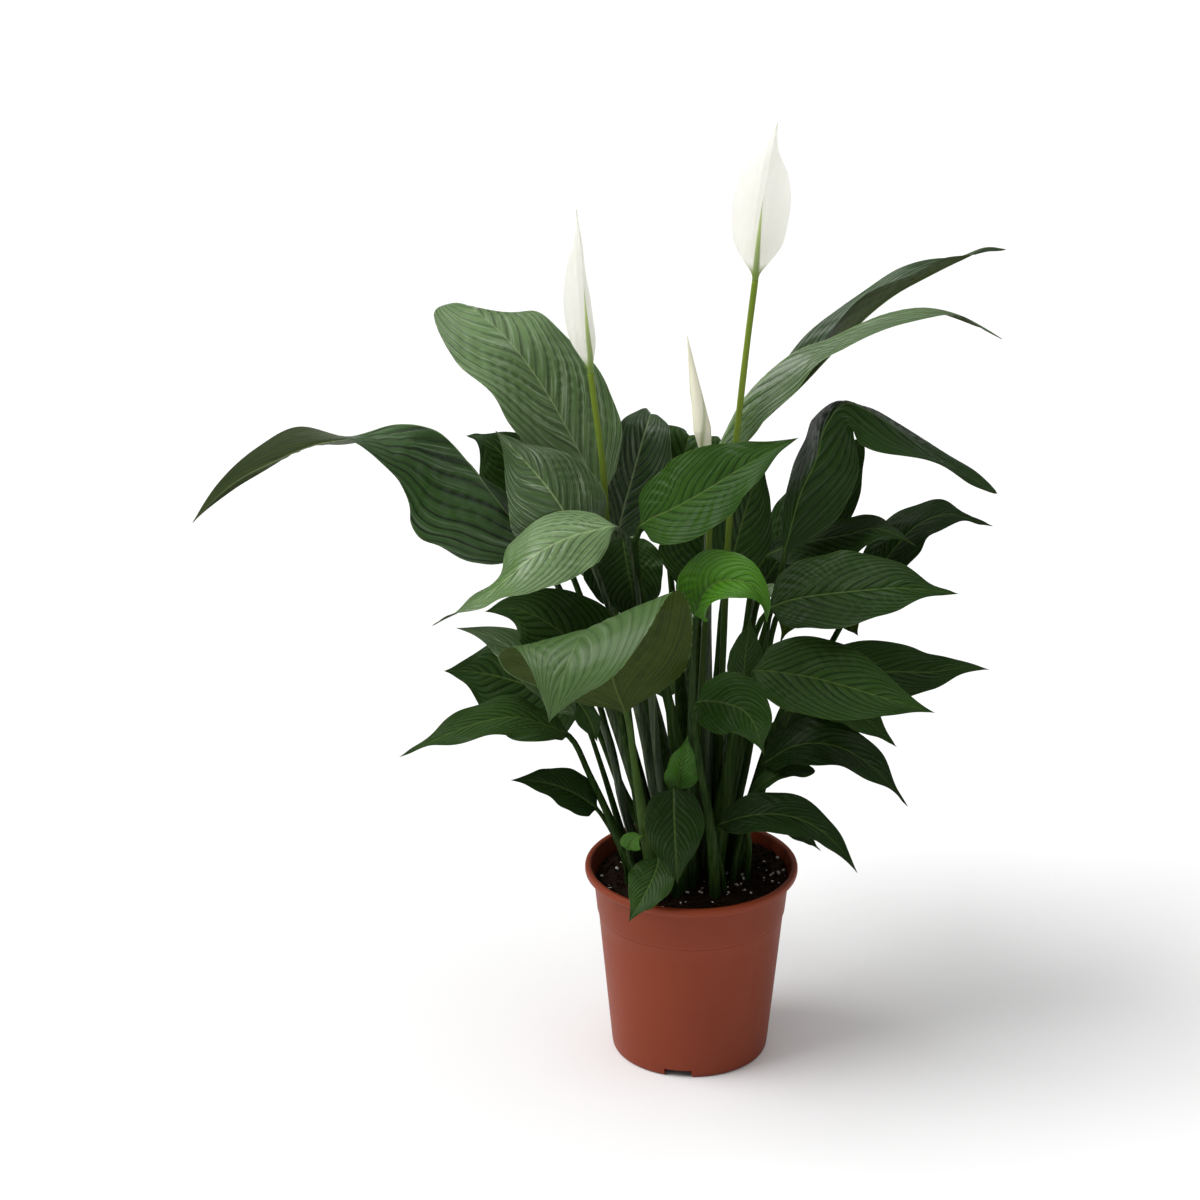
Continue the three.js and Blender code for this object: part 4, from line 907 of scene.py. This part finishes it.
class PEACELILY_OT_scapes(bpy.types.Operator):
    """Builds the flower stalks"""

    bl_idname = "peace_lily.scapes"
    bl_label = "Flower stalks"

    def execute(self, context):
        values = settings().flowers
        material = stem_material("flower stalk", values.scape, tint(140, 156, 56))
        for number in (1, 2, 3):
            self.build(number, material)
        return {"FINISHED"}

    def build(self, number, material):
        node = f"scape_{number}"
        rings, (foot, _) = read_rings(node, STEM_POINTS)
        centres = [foot, *(middle(ring) for ring in rings[1:])]
        if number < 3:  # the two open spathes stand beside the middle of their stalk's end
            spathe_rings, (spathe_foot, _) = read_rings(f"spathe_{number}", BLADE_POINTS)
            centres[-1] = spathe_foot.lerp(middle(spathe_rings[0]), SPATHE_FOOT_SHARE)
        radii = [(ring[0] - middle(ring)).length for ring in rings]
        knots = distances(centres)
        line, girth = Through(knots, centres), Through(knots, radii)
        across_it = Vector((1, 0.2, 0))

        def place(column, row):
            s = knots[-1] * row / SCAPE_ROWS
            way = (line(min(s + MM, knots[-1])) - line(max(s - MM, 0))).normalized()
            side = (across_it - way * way.dot(across_it)).normalized()
            out, angle = spoke(side, way.cross(side), column, SCAPE_COLUMNS)
            ribbed = SCAPE_GIRTH + 0.03 * math.cos(5 * angle) + 0.02 * math.sin(s * 90)
            return (line(s) + out * (girth(s) * ribbed),)

        bm = sheet_mesh(SCAPE_COLUMNS, SCAPE_ROWS, place)
        finish_piece(bm, f"flower_stalk_{number}", node, material)


BUD_ROWS, BUD_COLUMNS = 110, 72
BUD_FOOT = 2.4 * MM  # radius where the rolled spathe stands on its stalk
ROLL_TURN = 0.8  # turns that the outer edge of the roll makes from foot to tip
ROLL_STEP = 0.16  # how far the roll stands out at its edge, as a share of its radius


class PEACELILY_OT_bud(bpy.types.Operator):
    """Builds the rolled spathe of the third flower"""

    bl_idname = "peace_lily.bud"
    bl_label = "Rolled spathe"

    def execute(self, context):
        values = settings().flowers
        paint = Paint("rolled spathe", Coat_Weight=0.12, Coat_Roughness=0.35)
        turn, along, _ = paint.attribute("roll")
        streaks = paint.noise(50, 3, stretch=(5, 5, 0.3))
        colour = paint.blend(streaks * 0.4, values.bud, tint(246, 244, 226))
        green = (1 - along.step(0.0, 0.35)) * 0.75 + (1 - abs(turn - 0.5).step(0.0, 0.08)) * 0.5
        colour = paint.blend(green, colour, values.green)
        material = paint.finish(colour, 0.45 + streaks * 0.1, streaks, 0.0003)
        node = "spathe_bud"
        low, axis, length, reach = measure_upright(node)
        side = axis.cross(Vector((0.2, -1, 0))).normalized()
        up = side.cross(axis)

        def place(column, row):
            t = row / BUD_ROWS
            out, angle = spoke(side, up, column, BUD_COLUMNS)
            swell = min(1, (t / 0.3) ** 0.6) * min(1, ((1 - t) / 0.7) ** 0.95)
            body = max(BUD_FOOT * (1 - t), reach * swell)
            turn = (angle / math.tau + ROLL_TURN * t) % 1
            radius = body * (1 - ROLL_STEP * mix(0, turn, smooth(turn, 0.0, 0.03)))
            return low + axis * (length * t) + out * radius, (turn, t, 0)

        bm = sheet_mesh(BUD_COLUMNS, BUD_ROWS, place, ("roll",))
        finish_piece(bm, "closed_spathe", node, material)
        return {"FINISHED"}


# ---- pot and soil
class PotSettings(bpy.types.PropertyGroup):
    """Sizes and colours of the pot and the soil."""

    clay: colour_property("Pot", "Colour of the plastic", tint(135, 53, 20))
    clay_dark: colour_property("Pot, worn parts", "Colour of its darker parts", tint(106, 39, 12))
    soil: colour_property("Soil", "Colour of the moist potting soil", tint(27, 15, 6))
    soil_dry: colour_property("Soil, dry crumbs", "Colour of the drier crumbs", tint(62, 38, 18))
    perlite: colour_property("Perlite", "Colour of the white grains", tint(222, 220, 212))
    grains: IntProperty(name="Grains", description="White grains of perlite on the soil", default=190, min=0)
    crumbs: IntProperty(name="Crumbs", description="Loose crumbs on the soil", default=1300, min=0)


POT_STEPS = 144
POT_PROFILE = (  # radius and height in mm, up the outside, over the lip and down to the floor inside
    (0, 0), (59.6, 0), (60.9, 0.3), (61.9, 1), (62.4, 2), (62.62, 3.2), (63.05, 6), (67.5, 52),
    (72.5, 104), (73.95, 119.2), (74.3, 119.8), (74.15, 120.5), (74.35, 121.7), (75, 122.3),
    (75.25, 123.2), (76.6, 136), (78.2, 152), (78.5, 153.2), (79, 153.8), (82.6, 154), (83.9, 154.5),
    (84.7, 155.5), (85, 156.6), (85, 158.6), (84.7, 159.8), (83.9, 160.7), (82.8, 161), (81.2, 160.9),
    (80.3, 160.3), (79.8, 159.2), (78.6, 155), (76.8, 150), (73.6, 123), (61.2, 3.2), (0, 3),
)
NOTCHES = (-100, 20, 140)  # degrees: the drain notches in the edge of the foot
NOTCH_SIZE = (26 * MM, 22 * MM, 13 * MM)
NOTCH_PLACE = 62.6 * MM  # from the pot's axis to a notch's middle


class PEACELILY_OT_pot(bpy.types.Operator):
    """Builds the nursery pot: a turned profile with three notches cut in its foot"""

    bl_idname = "peace_lily.pot"
    bl_label = "Pot"

    def execute(self, context):
        values = settings().pot
        bm = bmesh.new()
        line = [bm.verts.new((r * MM, 0, z * MM)) for r, z in POT_PROFILE]
        edges = [bm.edges.new(pair) for pair in zip(line, line[1:])]
        turned = {"axis": UP, "cent": (0, 0, 0), "angle": math.tau, "steps": POT_STEPS}
        bmesh.ops.spin(bm, geom=line + edges, use_merge=True, **turned)
        bmesh.ops.remove_doubles(bm, verts=bm.verts[:], dist=SAME_POT_POINT)
        pot = finish_piece(bm, "nursery_pot", "pot", self.plastic(values))
        self.cut_notches(pot)
        return {"FINISHED"}

    def cut_notches(self, pot):
        bm = bmesh.new()
        for angle in NOTCHES:
            turn = Matrix.Rotation(math.radians(angle), 4, "Z")
            shift = Matrix.Translation((NOTCH_PLACE, 0, 0))
            size = Matrix.Diagonal((*NOTCH_SIZE, 1))
            bmesh.ops.create_cube(bm, size=1, matrix=turn @ shift @ size)
        cutter = add_mesh(bm, "notch cutter")
        cut = pot.modifiers.new("notches", "BOOLEAN")
        cut.operation, cut.solver, cut.object = "DIFFERENCE", "EXACT", cutter
        graph = bpy.context.evaluated_depsgraph_get()
        shaped = bpy.data.meshes.new_from_object(pot.evaluated_get(graph), depsgraph=graph)
        pot.modifiers.remove(cut)
        bpy.data.objects.remove(cutter)
        shaped.name = "nursery_pot"
        pot.data = shaped
        shaped.set_sharp_from_angle(angle=math.radians(40))

    def plastic(self, values):
        paint = Paint("pot plastic", Specular_IOR_Level=0.28)
        clouds = paint.noise(7, 3)
        scuffs = paint.noise(22, 5, stretch=(1, 1, 0.22), roughness=0.65)
        grain = paint.noise(900, 2)
        height = paint.height()
        collar = height.step(0.1215, 0.1235) * (1 - height.step(0.153, 0.1545))  # the band below the lip
        worn = (clouds * 0.7 + scuffs * 0.5 - 0.2).step(0.1, 0.9)
        colour = paint.blend(worn * 0.55, values.clay, values.clay_dark)
        colour = paint.blend(collar * 0.12, colour, values.clay_dark)
        dust = scuffs.step(0.6, 0.85) * height.step(0.13, 0.16)
        colour = paint.blend(dust * 0.3, colour, tint(70, 48, 36))
        rough = 0.42 + scuffs * 0.16 + grain * 0.05
        rings = (height * 2600).sine() * 0.08  # faint rings left by the mould
        return paint.finish(colour, rough, grain * 0.5 + scuffs * 0.4 + rings, 0.00018)


MOUTH, SOIL_LEVEL = 76.8, 150  # in mm: the pot's radius inside its lip, and the soil's height there
MOUND, LEAN = 4, 2.5  # in mm: how much higher the soil is in the middle and at the right
SOIL_SPOKES, SOIL_RINGS = 200, 72
WALL_RINGS = 6  # how many of these are on the side that stands against the pot's wall
SOIL_FOOT, SOIL_SHOULDER = (60.4, 3.3), (75.4, 140)  # radius and height in mm of that side's two ends
SOIL_EDGE = 76.0 * MM  # radius of the surface
SCATTER_EDGE = 75.5 * MM  # crumbs and grains lie no further out


def soil_height(x, y):
    """Height of the soil's surface, as in the CAD."""
    x, y = x / MM, y / MM
    out = math.hypot(x, y) / MOUTH
    mound = MOUND * (1 - out * out) + LEAN * x / MOUTH
    crumbs = math.sin(0.31 * x + 1.3) * math.sin(0.27 * y) + 0.7 * math.sin(0.53 * x - 0.41 * y)
    return (SOIL_LEVEL + mound + 0.9 * crumbs) * MM


class PEACELILY_OT_soil(bpy.types.Operator):
    """Builds the soil, its crumbs and the white perlite grains"""

    bl_idname = "peace_lily.soil"
    bl_label = "Soil"

    def execute(self, context):
        values = settings().pot
        self.surface(values)
        chance = random.Random(7)
        crumbly = self.earth("soil crumbs", values, 0.75)
        self.scatter(chance, values.crumbs, (0.5, 2.1), "soil_crumbs", crumbly)
        self.scatter(chance, values.grains, (0.5, 1.9), "perlite_grains", self.perlite(values), to_right=True)
        return {"FINISHED"}

    def surface(self, values):
        def place(column, row):
            angle = math.tau * column / SOIL_SPOKES
            if row < WALL_RINGS:
                radius, z = (mix(a, b, row / WALL_RINGS) * MM for a, b in zip(SOIL_FOOT, SOIL_SHOULDER))
                if row == 0:
                    radius = 0
            else:
                radius = SOIL_EDGE * (1 - (row - WALL_RINGS) / (SOIL_RINGS - WALL_RINGS))
            x, y = radius * math.cos(angle), radius * math.sin(angle)
            if row >= WALL_RINGS:
                point = Vector((x, y, 0))
                z = soil_height(x, y)
                z += 1.6 * MM * noise.noise(point * 190) + 1.1 * MM * abs(noise.noise(point * 460))
                z += 0.5 * MM * noise.noise(point * 1100)
            return (Vector((x, y, z)),)

        bm = sheet_mesh(SOIL_SPOKES, SOIL_RINGS, place)
        finish_piece(bm, "potting_soil", "soil", self.earth("soil", values, 0.45))

    def scatter(self, chance, count, sizes, name, material, to_right=False):
        """Lays small uneven stones with radii of some mm on the soil, more of them at the right if asked."""
        bm = bmesh.new()
        for _ in range(count):
            radius = SCATTER_EDGE * math.sqrt(chance.random())
            angle = chance.uniform(0, math.tau)
            x, y = radius * math.cos(angle), radius * math.sin(angle)
            if to_right and chance.random() > 0.35 + 0.65 * (0.5 + 0.5 * (x - 0.6 * y) / SOIL_EDGE):
                continue
            size = chance.uniform(*sizes) * MM
            turn = chance.uniform(0, 6.28)
            spin = Matrix.Rotation(turn, 4, Vector([chance.gauss(0, 1) for _ in range(3)]))
            stretch = Matrix.Diagonal([*(chance.uniform(0.6, 1.15) for _ in range(3)), 1])
            z = soil_height(x, y) + size * chance.uniform(0.1, 0.6)
            where = Matrix.Translation((x, y, z)) @ spin @ stretch
            made = bmesh.ops.create_icosphere(bm, subdivisions=1, radius=size, matrix=where)
            for v in made["verts"]:
                v.co += (v.co - Vector((x, y, z))) * chance.uniform(-0.22, 0.22)
        finish_piece(bm, name, None, material, smooth_faces=False)

    def earth(self, name, values, dryness):
        paint = Paint(name, Specular_IOR_Level=0.1)
        clumps, grain = paint.noise(60, 4), paint.noise(420, 4, roughness=0.7)
        dry = (clumps * 0.6 + grain * 0.6 - 0.25).step(0.25, 0.8)
        colour = paint.blend(dry * dryness, values.soil, values.soil_dry)
        return paint.finish(colour, 0.82 + grain * 0.12, grain * 0.7 + clumps * 0.6, 0.0012)

    def perlite(self, values):
        paint = Paint("perlite", Specular_IOR_Level=0.3)
        clumps, grain = paint.noise(160, 3), paint.noise(900, 3)
        colour = paint.blend(clumps.step(0.35, 0.75) * 0.6, values.perlite, tint(176, 160, 136))
        return paint.finish(colour, 0.8 + grain * 0.1, grain, 0.0004)


# ---- stage
class StageSettings(bpy.types.PropertyGroup):
    """Camera, floor and lights."""

    eye: FloatVectorProperty(
        name="Camera", description="Place of the camera", subtype="XYZ", unit="LENGTH", size=3,
        default=(-0.073, -2.7, 1.495),
    )
    tilt: FloatProperty(
        name="Tilt", description="How far the camera looks down", subtype="ANGLE", default=math.radians(22.3)
    )
    lens: FloatProperty(name="Lens", description="Focal length in mm on a 36 mm sensor", default=112.77)
    floor: colour_property("Floor", "Colour of the floor", tint(246, 246, 246))


FLOOR_HALF = 60  # half of the floor's side in metres, so that its end doesn't show
SKY_STRENGTH = 0.27
SUNS = (  # name, where the light comes from, strength, how wide it is in degrees, colour
    ("key", (-1.0, -0.16, 1.2), 2.6, 44, (1, 1, 1)),
    ("top", (0.1, 0.2, 1.4), 1.0, 90, (1, 1, 1)),
)


class PEACELILY_OT_stage(bpy.types.Operator):
    """Builds the pale floor, the soft lights and the camera"""

    bl_idname = "peace_lily.stage"
    bl_label = "Stage"

    def execute(self, context):
        values, scene = settings().stage, context.scene
        bm = bmesh.new()
        bmesh.ops.create_grid(bm, x_segments=4, y_segments=4, size=FLOOR_HALF)
        paint = Paint("floor", Specular_IOR_Level=0.1)
        grain = paint.noise(3, 2)
        shade = paint.blend(grain * 0.04, values.floor, tint(238, 238, 238))
        floor = add_mesh(bm, "floor", paint.finish(shade, 0.85 + grain * 0.05))
        for name, source, strength, width, colour in SUNS:
            lamp = bpy.data.lights.new(name, "SUN")
            lamp.angle, lamp.energy, lamp.color = math.radians(width), strength, colour
            light = add_object(name, lamp)
            light.location = source
            light.rotation_euler = (-Vector(source)).to_track_quat("-Z", "Y").to_euler()
        world = bpy.data.worlds.new("studio")
        world.use_nodes = True
        background = world.node_tree.nodes["Background"]
        background.inputs["Color"].default_value = (1, 1, 1, 1)
        background.inputs["Strength"].default_value = SKY_STRENGTH
        scene.world = world
        scene.view_settings.view_transform = "Standard"
        camera = bpy.data.cameras.new("camera")
        camera.lens, camera.sensor_width = values.lens, 36
        camera.clip_start, camera.clip_end = 0.1, 250
        eye = add_object("camera", camera)
        eye.location = values.eye
        eye.rotation_euler = (math.pi / 2 - values.tilt, 0, 0)
        scene.camera = eye
        return {"FINISHED"}


# ---- add-on
class PeaceLilySettings(bpy.types.PropertyGroup):
    """All sizes and colours of the potted peace lily."""

    leaves: PointerProperty(name="Leaves", description=LeafSettings.__doc__, type=LeafSettings)
    flowers: PointerProperty(name="Flowers", description=FlowerSettings.__doc__, type=FlowerSettings)
    pot: PointerProperty(name="Pot", description=PotSettings.__doc__, type=PotSettings)
    stage: PointerProperty(name="Stage", description=StageSettings.__doc__, type=StageSettings)


OPERATORS = (
    PEACELILY_OT_leaves, PEACELILY_OT_spathes, PEACELILY_OT_spadices, PEACELILY_OT_scapes,
    PEACELILY_OT_bud, PEACELILY_OT_pot, PEACELILY_OT_soil, PEACELILY_OT_stage,
)


class PEACELILY_PT_panel(bpy.types.Panel):
    """Lists the operators and the values that they use"""

    bl_idname = "PEACELILY_PT_panel"
    bl_label = "Peace lily"
    bl_space_type = "VIEW_3D"
    bl_region_type = "UI"
    bl_category = "Peace lily"

    def draw(self, context):
        for operator in OPERATORS:
            self.layout.operator(operator.bl_idname)
        values = settings()
        for group in (values.leaves, values.flowers, values.pot, values.stage):
            for name in group.bl_rna.properties.keys():
                if name not in ("rna_type", "name"):
                    self.layout.prop(group, name)


GROUPS = (LeafSettings, FlowerSettings, PotSettings, StageSettings, PeaceLilySettings)
CLASSES = (*GROUPS, *OPERATORS, PEACELILY_PT_panel)


def register():
    for cls in CLASSES:
        bpy.utils.register_class(cls)
    bpy.types.Scene.peace_lily = PointerProperty(type=PeaceLilySettings)


def unregister():
    del bpy.types.Scene.peace_lily
    for cls in reversed(CLASSES):
        bpy.utils.unregister_class(cls)


def main():
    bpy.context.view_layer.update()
    register()
    for operator in OPERATORS:
        getattr(bpy.ops.peace_lily, operator.bl_idname.split(".")[1])()


if __name__ == "__main__":
    main()
